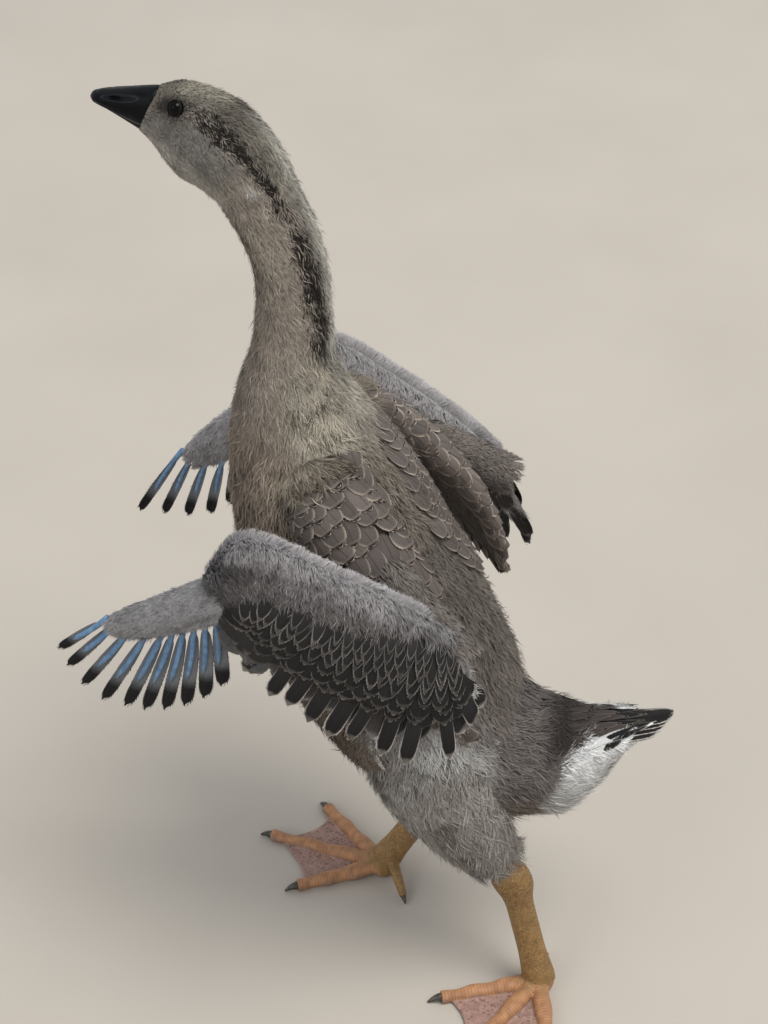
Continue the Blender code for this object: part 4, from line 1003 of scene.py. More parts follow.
def wing_feathers(side):
    pt = FORE[side]
    sets = []
    dark, slate = lin(35, 33, 32), lin(27, 25, 25)

    def row(q, tipq, lo, hi, count, W, kind, c0, c1, c2, fw, high, low=-0.0026, inner=False,
            spread=0.012, barbs=12, rows=9):
        f = np.linspace(lo, hi, count) + rng.normal(0, spread / 4, count)
        f = np.clip(f, 0.012, 0.985)
        v = np.full(count, q) if not inner else np.full(count, -2 - q)
        reach = forearm_reach(side, f)
        L = reach * (tipq - q) * (1 + rng.normal(0, 0.05, count))
        flow = np.full(count, math.pi / 2 if not inner else -math.pi / 2) + rng.normal(0, .07, count)
        flow += 0.10 * (1 if not inner else -1)
        Wd = (W if not np.isscalar(W) else np.full(count, W)) * (1 + rng.normal(0, .07, count))
        tone = np.exp(rng.normal(0, 0.16, (count, 1)))
        if inner:
            tone = tone * np.interp(f, [0, .22, .42], [0.16, 0.28, 1.0])[:, None]
        tone2 = np.exp(rng.normal(0, 0.20, (count, 1)))
        sets.append(vane_arrays(pt, f, v, flow, L, Wd, np.full(count, low), np.full(count, high),
                                0.0004, kind, col=const(count, c0) * tone, col_tip=const(count, c1) * tone,
                                col2=const(count, c2) * tone2, fw=fw, barbs=barbs, rows=rows,
                                loose=0.5, fade=(0.92, 1.3) if kind == "round" else (0.74, 0.55)))
    pale, soft = lin(116, 112, 108), lin(140, 133, 126)
    grey = lin(96, 91, 88)
    # secondaries, black-brown with thin pale tips, hanging free of the coverts
    row(0.45, 1.02, 0.04, 0.70, 10, 0.0054, "long", lin(50, 48, 48), lin(15, 14, 15), lin(176, 170, 162),
        0.22, 0.0004, rows=12, spread=0.012, barbs=14)
    row(0.45, 0.76, 0.08, 0.66, 8, 0.0070, "long", lin(40, 38, 38), lin(22, 21, 22),
        lin(74, 71, 69), 0.20, -0.0010, low=-0.0014, rows=10, barbs=10)
    # the same row towards the wrist: wide, dark grey, only finely edged
    row(0.40, 1.0, 0.70, 0.95, 6, 0.0108, "round", lin(92, 91, 91), lin(66, 65, 66), lin(112, 110, 107),
        0.30, 0.0002, rows=12, barbs=12)
    # greater, median and lesser coverts, each row over the one below
    row(0.38, 0.690, 0.03, 0.76, 11, 0.0086, "round", dark, slate * 0.6, pale, 0.24, 0.0016, low=-0.0010)
    row(0.42, 0.86, 0.74, 0.93, 4, 0.0104, "round", dark * 1.7, dark, pale * 0.8, 0.22, 0.0016, low=-0.0010)
    row(0.34, 0.635, 0.02, 0.90, 14, 0.0080, "round", dark, slate * 0.65, pale, 0.25, 0.0026)
    row(0.28, 0.555, 0.03, 0.86, 16, 0.0067, "round", dark * 1.1, slate * 0.7, pale, 0.27, 0.0032)
    row(0.21, 0.470, 0.02, 0.80, 17, 0.0054, "point", dark * 1.2, slate * 0.7, pale, 0.32, 0.0036)
    row(0.14, 0.390, 0.015, 0.72, 18, 0.0045, "point", dark * 1.4, slate * 0.8, pale, 0.34, 0.0036)
    row(0.08, 0.315, 0.012, 0.58, 16, 0.0040, "point", dark * 1.4, slate, pale, 0.34, 0.0036)
    row(0.035, 0.245, 0.012, 0.42, 12, 0.0037, "point", dark * 1.6, slate, pale, 0.34, 0.0034)
    row(0.008, 0.175, 0.012, 0.26, 8, 0.0034, "point", dark * 1.8, slate, pale, 0.34, 0.0032)
    # inner face: grey lining
    row(0.48, 0.92, 0.04, 0.96, 14, 0.0085, "round", lin(98, 92, 88), lin(76, 71, 68), soft, 0.30,
        0.0008, low=-0.0003, inner=True)
    row(0.30, 0.62, 0.04, 0.96, 15, 0.0078, "round", lin(112, 105, 99), lin(98, 91, 86), soft, 0.34,
        0.0018, low=-0.0003, inner=True)
    return vanes_object("feathers_wing_%s" % side, sets, VANE_DARK)


def flank_feathers():
    sets = []
    for k, (s0, n, lo, hi) in enumerate(((18.0, 9, 58, 108), (18.6, 9, 60, 110), (19.2, 9, 60, 106),
                                         (19.8, 8, 60, 100))):
        for sg in (1, -1):
            d = np.linspace(lo, hi, n) + rng.normal(0, 3, n)
            v = np.radians(d) * sg
            c = np.where((rng.random((n, 1)) < 0.35), lin(92, 88, 84)[None], lin(168, 167, 162)[None])
            sets.append(vane_arrays(BODY, np.full(n, s0) + rng.normal(0, .12, n), v,
                                    sg * 0.22 + rng.normal(0, .14, n),
                                    0.042 * (1 + rng.normal(0, .10, n)), np.full(n, 0.0040), np.full(n, -0.006),
                                    np.full(n, -0.0002), 0.0004, "point", col=c * 0.7, col_tip=c * 1.1,
                                    col2=c * 1.1, fw=0.5, barbs=24, loose=2.0))
    return vanes_object("feathers_flank", sets, VANE)


def tail_feathers():
    sets = []
    # coverts above and below the fan
    for s0, n, spread, c0, c2, L, W, hi in (
            (23.4, 7, 40, lin(66, 59, 55), lin(92, 83, 77), .028, .0060, .0004),
            (24.1, 6, 30, lin(70, 63, 59), lin(104, 96, 90), .036, .0054, .0012),
            (24.8, 8, 42, lin(26, 24, 24), lin(112, 105, 98), .042, .0048, .0024),
            (24.3, 2, 61, lin(24, 23, 23), lin(74, 71, 68), .052, .0040, .0036),
            (24.2, 2, 73, lin(22, 21, 21), lin(60, 58, 56), .048, .0044, .0036),
            (24.4, 2, 84, lin(26, 25, 25), lin(64, 62, 60), .034, .0034, .0034)):
        v = np.radians(np.linspace(-spread, spread, n)) + rng.normal(0, .06, n)
        sets.append(vane_arrays(BODY, np.full(n, s0) + rng.normal(0, .12, n), v, rng.normal(0, .10, n),
                                L * (1 + rng.normal(0, .10, n)), np.full(n, W), np.full(n, -.004),
                                np.full(n, hi), .0006, "point", col=const(n, c0), col_tip=const(n, c0 * 0.9),
                                col2=const(n, c2), fw=0.35, barbs=18))
    for s0, n, L, W, wide in ((22.9, 7, .030, .0080, 62), (23.4, 8, .032, .0080, 92),
                              (24.0, 9, .034, .0076, 112), (24.7, 9, .036, .0070, 122),
                              (25.3, 7, .036, .0066, 124)):
        v = math.pi + np.radians(np.linspace(-wide, wide, n)) + rng.normal(0, .05, n)
        w = const(n, lin(204, 204, 201))
        sets.append(vane_arrays(BODY, np.full(n, s0), v, rng.normal(0, .08, n), np.full(n, L),
                                np.full(n, W), np.full(n, -.003), np.full(n, .0010), .0010, "long",
                                col=w, col_tip=w, col2=w * 1.05, fw=0.4, barbs=22))
    ob = vanes_object("feathers_tail_coverts", sets, VANE)
    return ob


# ------------------------------------------------------------------ free feathers
def free_vanes(P, T, N, L, W, c0, c1, c2, fw, kind="long", rows=12, cols=7, bow=0.0, barbs=26,
               shade=(0.0, 1.0), half=None):
    """Vanes on straight shafts: root P, direction T, face normal N."""
    n = len(P)
    B = unit(np.cross(N, T))
    N = unit(np.cross(T, B))
    t = np.linspace(0, 1, rows)
    x = np.linspace(-1, 1, cols)
    tt, xx = [g.ravel() for g in np.meshgrid(t, x, indexing="ij")]
    faces = []
    for i in range(rows - 1):
        for j in range(cols - 1):
            a = i * cols + j
            faces += [(a, a + 1, a + cols + 1), (a, a + cols + 1, a + cols)]
    base = len(tt)
    et, ex, eo = [], [], []
    for k in range(barbs):
        s = (k + 0.5) / barbs * 2 - 1
        bt = 1 - 0.60 * abs(s) ** 1.3
        for off, out in ((-0.02, 0), (0.02, 0), (0.035, 1)):
            et.append(min(1, bt + off))
            ex.append(math.copysign(0.97 if abs(s) > 0.1 else abs(s) * 9, s))
            eo.append(out)
        faces.append((base + 3 * k, base + 3 * k + 1, base + 3 * k + 2))
    ta, xa, oa = np.concatenate([tt, et]), np.concatenate([xx, ex]), np.concatenate([0 * tt, eo])
    wa = outline(ta, kind)
    m = len(ta)
    fray = (0.0008 + 0.0014 * rng.random((n, m))) * oa[None]
    lens = L[:, None] * ta[None] + fray * 0.8
    acr = W[:, None] * (wa * xa)[None] + fray * np.sign(xa)[None] * 0.6
    if half is not None:        # narrower vane on one side of the shaft
        acr = np.where(acr * half > 0, acr * 0.55, acr)
    hgt = -W[:, None] * 0.25 * (xa ** 2 * wa)[None] - bow * L[:, None] * (ta ** 2)[None]
    V = P[:, None] + T[:, None] * lens[..., None] + B[:, None] * acr[..., None] + N[:, None] * hgt[..., None]
    g = np.exp(rng.normal(0, 0.05, n))[:, None, None]
    dk = step(ta, *shade)[None, :, None]
    col = (c0[:, None] * (1 - dk) + c1[:, None] * dk) * g
    edge = np.minimum((1 - np.abs(xa)) * wa, (1 - ta) * 2.4)
    return dict(V=V, F=np.array(faces), n=n, m=m, col=col, col2=np.repeat(c2[:, None], m, 1),
                vane=np.repeat(np.stack([xa, ta, edge], 1)[None], n, 0),
                fw=np.full((n, m), fw), ta=ta, xa=xa * wa)


def tail_fan():
    n = 9
    f = (2 * (2 * np.arange(n) + 1) / 18.0) - 1
    P = np.stack([0.0185 * f, 0.157 + 0 * f, 0.2216 - 0.003 * f * f], 1) + SHIFT
    T = unit(np.stack([-0.12 * f, 1 + 0 * f, 0.37 - 0.05 * f * f], 1))
    L = 0.066 - 0.014 * f * f
    N = unit(np.stack([0.25 * f, -0.36 + 0 * f, 1 + 0 * f], 1))
    P = P + N * ((1 - np.abs(f)) * 0.0012)[:, None]
    c0, c1 = const(n, lin(44, 40, 37)), const(n, lin(24, 22, 21))
    c2 = const(n, lin(205, 198, 188))
    sets = [free_vanes(P, T, N, L, np.full(n, 0.0060), c0, c1, c2, 0.12, rows=14, bow=0.02)]
    # the paler under side
    sets.append(free_vanes(P - N * 0.0010, T, N, L * 0.97, np.full(n, 0.0068), c0 * 1.8, c1 * 1.8, c2,
                           0.20, rows=12, bow=0.02))
    ob = vanes_object("feathers_tail_fan", sets, VANE_DARK)
    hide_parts("tail_feathers")
    return ob


m, nt, b = new_material("quill_sheath")
g = ramp(nt, noise(nt, 260, 3.0), (0.30, tuple(lin(70, 100, 132))), (0.55, tuple(lin(88, 122, 154))),
         (0.80, tuple(lin(116, 148, 176))))
nt.links.new(g, b.inputs["Base Color"])
b.inputs["Roughness"].default_value = 0.42
b.inputs["Coat Weight"].default_value = 0.15
bump(nt, b, noise(nt, 1500, 2.0), 0.25, 0.0003)
QUILL = m


def primaries(side):
    sx = SIGN[side]
    w, h = HAND_ROOT[side], HAND_END[side]
    axis = unit(h - w)
    under = unit(np.array([0.0, -axis[2], axis[1]]))
    i = np.arange(10)
    f = i / 9.0
    place = 1.0 - 0.75 * f ** 1.15 + np.where(i == 0, 0.02, 0)
    down = cat(HAND_PROFILE, 7 * np.minimum(1.0, place))[:, 0] * HAND_PLUMP[side]
    down = down - HAND_RISE[side] * np.sin(np.pi * np.minimum(1.0, place))
    share = np.array([-0.62, 0.0, 0.60, 0.95] + [1.0] * 6)
    P = w + (h - w) * place[:, None] + under * (down * share + 0.0040 * np.minimum(1.0, i / 3.0))[:, None]
    P[:4] += axis * np.array([0.0060, 0.0066, 0.0064, 0.0044])[:, None]
    a = np.radians(-40 - 52 * f ** 0.85 - FAN_TURN[side] * (1 - 0.4 * f))
    T = unit(np.stack([0.03 + 0 * a, -np.cos(a), np.sin(a)], 1))
    L = 0.038 + 0.110 * f - 0.098 * f * f if side == "L" else np.maximum(0.042, 0.064 - 0.044 * f)
    flip = np.array([sx, 1, 1])
    P, T = P * flip + SHIFT, T * flip
    N = const(10, (sx, 0, 0))
    # sheaths: tapered tubes with rounded ends
    V, F, K, R = [], [], 10, 8
    for j in range(10):
        A = unit(np.cross(N[j], T[j]))
        for k in range(R):
            t = k / (R - 1)
            q = -0.010 + (0.64 * L[j] + 0.010) * t
            r = 0.00235 * (1 - 0.25 * t) * (0.35 if k == R - 1 else 1)
            bend = 0.0012 * math.sin(math.pi * t)
            for c in range(K):
                th = 2 * math.pi * c / K
                V.append(P[j] + T[j] * q + A * (r * math.cos(th) + bend) + N[j] * r * math.sin(th))
        o = j * K * R
        for k in range(R - 1):
            for c in range(K):
                p, q2 = o + k * K + c, o + k * K + (c + 1) % K
                F += [(p, q2, q2 + K), (p, q2 + K, p + K)]
        for c in range(1, K - 1):
            F.append((o + (R - 1) * K, o + (R - 1) * K + c, o + (R - 1) * K + c + 1))
            F.append((o, o + c + 1, o + c))
    ob = tri_object("quills_%s" % side, np.array(V), np.array(F), QUILL)
    W = 0.0044 + 0.0024 * f
    grey, black = lin(104, 105, 108), lin(12, 12, 14)
    start = P + T * (L * 0.02)[:, None] - N * 0.0008
    sets = [free_vanes(start, T, N, L * 1.0, W, const(10, grey) * (0.85 + 0.3 * f[:, None]),
                       const(10, black), const(10, lin(40, 39, 40)), 0.10, rows=18, half=-1, barbs=26,
                       shade=(0.58, 0.78))]
    ob2 = vanes_object("feathers_primaries_%s" % side, sets, VANE_DARK)
    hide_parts("wing_%s_primaries" % side)
    return ob, ob2


for side in "LR":
    cape_feathers(side)
    wing_feathers(side)
    primaries(side)
flank_feathers()
tail_feathers()
tail_fan()

# ------------------------------------------------------------------ skin
def add_loft(bm, rings):
    rows = [[bm.verts.new(tuple(p)) for p in r] for r in rings]
    n = len(rows[0])
    for a, b in zip(rows[:-1], rows[1:]):
        for i in range(n):
            j = (i + 1) % n
            bm.faces.new((a[i], a[j], b[j], b[i]))
    bm.faces.new(list(reversed(rows[0])))
    bm.faces.new(rows[-1])


def patch_rings(patch, us, vs, inset):
    """Rings of a patch sunk below its surface by inset(u, v)."""
    out = []
    for u in us:
        uu = np.full(len(vs), u)
        P, _, _, N = patch.frame(uu, vs)
        out.append(P - N * inset(uu, vs)[:, None])
    return out


def remeshed(name, bm, voxel, smooth):
    me = bpy.data.meshes.new(name + "_raw")
    bmesh.ops.recalc_face_normals(bm, faces=bm.faces)
    bm.to_mesh(me)
    bm.free()
    ob = bpy.data.objects.new(name + "_raw", me)
    bpy.context.scene.collection.objects.link(ob)
    r = ob.modifiers.new("remesh", "REMESH")
    r.mode = "VOXEL"
    r.voxel_size = voxel
    r.use_smooth_shade = True
    s = ob.modifiers.new("smooth", "SMOOTH")
    s.factor = 0.5
    s.iterations = smooth
    dg = bpy.context.evaluated_depsgraph_get()
    out = bpy.data.meshes.new_from_object(ob.evaluated_get(dg))
    bpy.data.objects.remove(ob, do_unlink=True)
    bpy.data.meshes.remove(me)
    out.name = name
    return out


def round_angles(n):
    return np.linspace(-math.pi, math.pi, n, endpoint=False)


bm = bmesh.new()
add_loft(bm, patch_rings(BODY, np.linspace(0, LAST, 150), round_angles(72), body_depth))
for side in "LR":
    add_loft(bm, patch_rings(UPPER[side], np.linspace(0, 1, 16), round_angles(28), lambda u, v: 0.0075 + 0 * u))
    add_loft(bm, patch_rings(CAPE[side], np.linspace(0, 0.72, 24), round_angles(36),
                             lambda u, v: np.interp(u, [0, .5, .72], [.0034, .0030, .0024])))
    cs = np.concatenate([np.linspace(0.60, 0, 12), np.linspace(-0.2, -1.8, 8), np.linspace(-2, -2.60, 12)])
    add_loft(bm, patch_rings(FORE[side], np.linspace(0.004, 0.996, 40), cs,
                             lambda u, v: 0.0036 * np.where(v > 0, 1 - 0.4 * v, np.where(v < -2, 1 + 0.4 * (2 + v), 1))))
    add_loft(bm, patch_rings(HAND[side], np.linspace(0, 0.985, 26), round_angles(28),
                             lambda u, v: 0.0028 * np.interp(u, [0, .85, 1], [1, .8, .35])))
    add_loft(bm, patch_rings(THIGH[side], np.linspace(0, 0.87, 28), round_angles(40),
                             lambda u, v: np.interp(u, [0, .7, .9, 1], [.0080, .0070, .0042, .0016])))
skin = remeshed("skin", bm, 0.0022, 3)

# colours of the coat's own roots, so that skin and coat carry the same markings
ra, rc = np.concatenate(roots_at), np.concatenate(roots_col)
pick = rng.permutation(len(ra))[:60000]
tree = KDTree(len(pick))
for i, k in enumerate(pick):
    tree.insert(ra[k], i)
tree.balance()
rc = rc[pick]
co = np.empty(len(skin.vertices) * 3, np.float32)
skin.vertices.foreach_get("co", co)
co = co.reshape(-1, 3)
near = np.array([tree.find(p)[1] for p in co])
at = skin.color_attributes.new(name="Col", type="FLOAT_COLOR", domain="POINT")
rgba = np.ones((len(co), 4), np.float32)
rgba[:, :3] = rc[near] * 0.85
at.data.foreach_set("color", rgba.ravel())
at = skin.attributes.new("vane", "FLOAT_VECTOR", "POINT")

# ---- bare legs and feet
TOE_R = 0.0076


def heading(deg):
    a = math.radians(deg)
    return np.array([math.sin(a), -math.cos(a), 0.0])


def shank_surface(leg):
    hock, knee, ball = (np.array(leg[k]) for k in ("hock", "knee", "ball"))
    top = hock + (knee - hock) * 0.24
    mid = hock + (ball - hock) * 0.12

    def path(f):
        g = np.where(f < 0.22, f / 0.22 * 0.5, 0.5 + (f - 0.22) / 0.08 * 0.5)
        a = bez(top, hock, mid, np.clip(g, -0.1, 1))
        b = mid + (ball - mid) * ((f - 0.30) / 0.70)[:, None]
        return np.where((f < 0.30)[:, None], a, b)

    def radius(f):
        swell = np.exp(-((f - 0.24) / 0.10) ** 2) * (0.0158 - 0.0108)
        low = np.exp(-((f - 1.0) / 0.14) ** 2) * 0.0026
        return np.stack([0.0096 + 0.7 * swell + low, 0.0108 + swell + low * 0.8], 1)
    return tube_at(path, radius)


def tube_between(points, radii, n, ref):
    out = []
    pts = np.array(points, float)
    for i, p in enumerate(pts):
        t = unit(pts[min(i + 1, len(pts) - 1)] - pts[max(i - 1, 0)])
        x = unit(ref - t * (ref @ t))
        w = np.cross(t, x)
        th = np.linspace(0, 2 * math.pi, n, endpoint=False)
        rx, ry = radii[i]
        out.append(p + x * (rx * np.cos(th))[:, None] + w * (ry * np.sin(th))[:, None])
    return out


def toe_line(ball, deg, length, count):
    d = heading(deg)
    pts, rad = [], []
    for k in range(count):
        f = k / (count - 1)
        r = TOE_R * (1 - 0.38 * f)
        kn = 0.0007 * math.cos(2 * math.pi * 3 * f)
        p = np.array([ball[0], ball[1], 0.0]) + d * (length * f)
        p[2] = r * 0.86 + 0.0035 * max(0.0, 1 - f * 3.2)
        pts.append(p)
        rad.append((r + kn, (r + kn) * 0.95))
    return pts, rad


def hallux_line(leg):
    ball, hock = np.array(leg["ball"]), np.array(leg["hock"])
    hb = ball + unit(hock - ball) * 0.010
    hd = heading(leg["hallux"][0])
    fs = (0.0, 0.35, 0.7, 1.0)
    return [hb + hd * (leg["hallux"][1] * f) + np.array([0, 0, (0.0050 - hb[2]) * f ** 1.1]) for f in fs]


def web_solid(bm, ball, toes):
    names = sorted(("II", "III", "IV"), key=lambda n: toes[n][0])
    cols = []
    for a, c in zip(names[:-1], names[1:]):
        for k in range(13):
            f = k / 12
            if cols and k == 0:
                continue
            deg = toes[a][0] + (toes[c][0] - toes[a][0]) * f
            reach = (toes[a][1] * (1 - f) + toes[c][1] * f) * 0.93 * (1 - 0.60 * (f * (1 - f)))
            cols.append((deg, reach, math.sin(math.pi * f)))
    qs = np.linspace(0.03, 1, 12)
    top, low = [], []
    for deg, reach, mid in cols:
        d = heading(deg)
        ta, lo = [], []
        for q in qs:
            p = np.array([ball[0], ball[1], 0]) + d * (reach * q) + SHIFT
            z = 0.0022 + 0.003 * (1 - q) + 0.0004 * mid * math.sin(q * 19)
            ta.append(bm.verts.new((p[0], p[1], z + 0.0009)))
            lo.append(bm.verts.new((p[0], p[1], z - 0.0009)))
        top.append(ta)
        low.append(lo)
    m, n = len(top), len(qs)
    for i in range(m - 1):
        for j in range(n - 1):
            bm.faces.new((top[i][j], top[i][j + 1], top[i + 1][j + 1], top[i + 1][j]))
            bm.faces.new((low[i][j], low[i + 1][j], low[i + 1][j + 1], low[i][j + 1]))
        bm.faces.new((top[i][0], top[i + 1][0], low[i + 1][0], low[i][0]))
        bm.faces.new((top[i][-1], low[i][-1], low[i + 1][-1], top[i + 1][-1]))
    for j in range(n - 1):
        bm.faces.new((top[0][j], low[0][j], low[0][j + 1], top[0][j + 1]))
        bm.faces.new((top[-1][j], top[-1][j + 1], low[-1][j + 1], low[-1][j]))


bm = bmesh.new()
for side in "LR":
    leg = LEGS[side]
    sp = Patch(shank_surface(leg), (0.0, 1.03), (-math.pi, math.pi), flip=-1.0)
    add_loft(bm, [sp.place(np.full(28, u), round_angles(28)) for u in np.linspace(0, 1.03, 40)])
    for nm, (deg, length) in leg["toes"].items():
        pts, rad = toe_line(leg["ball"], deg, length, 40)
        add_loft(bm, [r + SHIFT for r in tube_between(pts, rad, 18, heading(deg + 90))])
    hp = hallux_line(leg)
    add_loft(bm, [r + SHIFT for r in tube_between(hp, [(0.0052,) * 2, (0.0046,) * 2, (0.0040,) * 2, (0.0032,) * 2],
                                                  14, heading(leg["hallux"][0] + 90))])
    web_solid(bm, leg["ball"], leg["toes"])
    pad = bmesh.ops.create_uvsphere(bm, u_segments=20, v_segments=12, radius=1.0)["verts"]
    bmesh.ops.scale(bm, verts=pad, vec=Vector((0.0122, 0.0122, 0.0105)))
    bmesh.ops.translate(bm, verts=pad, vec=Vector((leg["ball"][0] + SHIFT[0], leg["ball"][1] + SHIFT[1], 0.0082)))
feet = remeshed("feet", bm, 0.00085, 3)

co = np.empty(len(feet.vertices) * 3, np.float32)
feet.vertices.foreach_get("co", co)
co = co.reshape(-1, 3).astype(float)
q = co - SHIFT
# place along the nearest toe, and how far off its axis: tells toe, web and shank apart
best = np.full(len(q), 1.0)
along = np.zeros(len(q))
for side in "LR":
    leg = LEGS[side]
    b = np.array([leg["ball"][0], leg["ball"][1], 0.0])
    for deg, length in leg["toes"].values():
        d = heading(deg)
        rel = q - b
        a = np.clip(rel @ d, 0, length)
        off = np.linalg.norm((rel - a[:, None] * d)[:, :2], axis=1)
        along = np.where(off < best, a, along)
        best = np.minimum(best, off)
rad_at = TOE_R * (1 - 0.38 * np.clip(along / 0.09, 0, 1))
low = 1 - step(q[:, 2], 0.011, 0.016)
webm = step(best, rad_at * 0.80, rad_at * 1.15) * (1 - step(q[:, 2], 0.0062, 0.0085)) * step(along, 0.004, 0.010)
toem = low * (1 - webm) * step(along, 0.004, 0.009)
# raised scutes over the toes
scute = np.abs(np.sin(along * math.pi / 0.0026)) ** 0.5
top_side = step(q[:, 2], 0.0045, 0.0065)
co[:, 2] += toem * top_side * (scute - 0.6) * 0.00045
co[:, 2] = np.maximum(co[:, 2], 0.0)
feet.vertices.foreach_set("co", co.astype(np.float32).ravel())
nz = ripple(co, 0.010, 0)
nz2 = ripple(co, 0.0035, 1)
base = const(len(q), lin(143, 113, 70)) * (1 + 0.14 * nz)[:, None]
base = mix(base, const(len(q), lin(172, 132, 82)), step(nz2, 0.2, 0.9) * 0.35)
hockm = np.zeros(len(q))
frontm = np.zeros(len(q))
for side in "LR":
    hk = np.array(LEGS[side]["hock"])
    dd = q - hk
    hockm = np.maximum(hockm, np.exp(-(np.linalg.norm(dd * np.array([1, 1, 0.7]), axis=1) / 0.025) ** 2))
base = mix(base, const(len(q), lin(96, 70, 44)), np.clip(hockm * step(nz2 + nz, -0.2, 0.9) * 0.75, 0, 1))
base = mix(base, const(len(q), lin(84, 66, 50)), np.clip(step(nz2, 0.65, 1.1) * 0.5 * (1 - low), 0, 1))
base = mix(base, const(len(q), lin(166, 118, 84)) * (1 + 0.14 * nz)[:, None], toem * 0.85)
web_c = const(len(q), lin(158, 126, 114)) * (1 + 0.12 * nz)[:, None]
web_c = mix(web_c, const(len(q), lin(86, 66, 60)), step(nz2, 0.35, 1.0) * 0.6)
base = mix(base, web_c, webm)
sole = 1 - step(q[:, 2], 0.0004, 0.0022)
base = mix(base, const(len(q), lin(150, 120, 88)), sole * 0.7)
at = feet.color_attributes.new(name="Col", type="FLOAT_COLOR", domain="POINT")
rgba = np.ones((len(co), 4), np.float32)
rgba[:, :3] = base
at.data.foreach_set("color", rgba.ravel())
at = feet.attributes.new("vane", "FLOAT_VECTOR", "POINT")
at.data.foreach_set("vector", np.stack([along, webm, toem], 1).astype(np.float32).ravel())

m, nt, b = new_material("skin_under_coat")
c = node(nt, "ShaderNodeAttribute", attribute_name="Col").outputs["Color"]
g = ramp(nt, noise(nt, 300, 4.0), (0.3, (0.62, 0.62, 0.62)), (0.7, (1.0, 1.0, 1.0)))
nt.links.new(blend(nt, "MULTIPLY", 1.0, c, g), b.inputs["Base Color"])
b.inputs["Roughness"].default_value = 0.9
b.inputs["Specular IOR Level"].default_value = 0.15
bump(nt, b, noise(nt, 700, 3.0), 0.6, 0.001)
SKIN = m

m, nt, b = new_material("skin_legs_scaly")
c = node(nt, "ShaderNodeAttribute", attribute_name="Col").outputs["Color"]
va = node(nt, "ShaderNodeAttribute", attribute_name="vane").outputs["Vector"]
sep = nt.nodes.new("ShaderNodeSeparateXYZ")
nt.links.new(va, sep.inputs[0])
oc = nt.nodes.new("ShaderNodeTexCoord").outputs["Object"]
cell = node(nt, "ShaderNodeTexVoronoi", Scale=560.0)
cell.feature = "DISTANCE_TO_EDGE"
nt.links.new(oc, cell.inputs["Vector"])
dot = node(nt, "ShaderNodeTexVoronoi", Scale=560.0)
nt.links.new(oc, dot.inputs["Vector"])
line = ramp(nt, cell.outputs["Distance"], (0.02, (0.66, 0.58, 0.52)), (0.16, (1, 1, 1)))
spots = ramp(nt, dot.outputs["Distance"], (0.12, (1.18, 1.17, 1.14)), (0.42, (0.94, 0.94, 0.94)))
scaly = blend(nt, "MULTIPLY", 1.0, blend(nt, "MULTIPLY", 1.0, c, line), spots)
ring = maths(nt, "ABSOLUTE", maths(nt, "SINE", maths(nt, "MULTIPLY", sep.outputs[0], math.pi / 0.0026)))
scut = ramp(nt, ring, (0.05, (0.68, 0.62, 0.58)), (0.35, (1.04, 1.04, 1.04)))
toes = blend(nt, "MULTIPLY", 1.0, c, scut)
col = blend(nt, "MIX", sep.outputs[2], scaly, toes)
fine = ramp(nt, noise(nt, 1200, 3.0), (0.35, (0.72, 0.70, 0.70)), (0.62, (1.08, 1.08, 1.08)))
webc = blend(nt, "MULTIPLY", 1.0, c, fine)
nt.links.new(blend(nt, "MIX", sep.outputs[1], col, webc), b.inputs["Base Color"])
b.inputs["Roughness"].default_value = 0.52
b.inputs["Specular IOR Level"].default_value = 0.38
hgt = maths(nt, "ADD", maths(nt, "MULTIPLY", cell.outputs["Distance"], 1.2),
            maths(nt, "MULTIPLY", noise(nt, 900, 2.0), 0.4))
bump(nt, b, hgt, 0.55, 0.0008)
LEG = m

skin.materials.clear()
skin.materials.append(SKIN)
feet.materials.clear()
feet.materials.append(SKIN)
feet.materials.append(LEG)
feet.polygons.foreach_set("material_index", np.ones(len(feet.polygons), np.int32))
bm = bmesh.new()
bm.from_mesh(skin)
for f in bm.faces:
    f.material_index = 0
bm.from_mesh(feet)
skin_all = bpy.data.meshes.new("skin")
bm.to_mesh(skin_all)
bm.free()
skin_all.materials.append(SKIN)
skin_all.materials.append(LEG)
for p in skin_all.polygons:
    p.use_smooth = True
skin_ob = bpy.data.objects.new("skin", skin_all)
bpy.context.scene.collection.objects.link(skin_ob)
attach(skin_ob, "root")
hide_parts("head", "neck", "trunk", "tail",
            *["leg_%s_thigh" % s for s in "LR"], *["leg_%s_shank" % s for s in "LR"],
            *["foot_%s" % s for s in "LR"], *["wing_%s_upper" % s for s in "LR"],
            *["wing_%s_forearm" % s for s in "LR"], *["wing_%s_hand" % s for s in "LR"])

# ------------------------------------------------------------------ claws
m, nt, b = new_material("claw_horn")
g = ramp(nt, noise(nt, 500, 4.0), (0.35, tuple(lin(34, 30, 28))), (0.7, tuple(lin(84, 76, 68))))
nt.links.new(g, b.inputs["Base Color"])
b.inputs["Roughness"].default_value = 0.34
bump(nt, b, noise(nt, 1100, 2.0), 0.2, 0.0003)
CLAW = m


def rings_object(name, rings, mat, replaces):
    bm = bmesh.new()
    add_loft(bm, rings)
    bmesh.ops.recalc_face_normals(bm, faces=bm.faces)
    me = bpy.data.meshes.new(name)
    bm.to_mesh(me)
    bm.free()
    for p in me.polygons:
        p.use_smooth = True
    me.materials.append(mat)
    ob = bpy.data.objects.new(name, me)
    bpy.context.scene.collection.objects.link(ob)
    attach(ob, "root")
    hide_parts(replaces)
    return ob


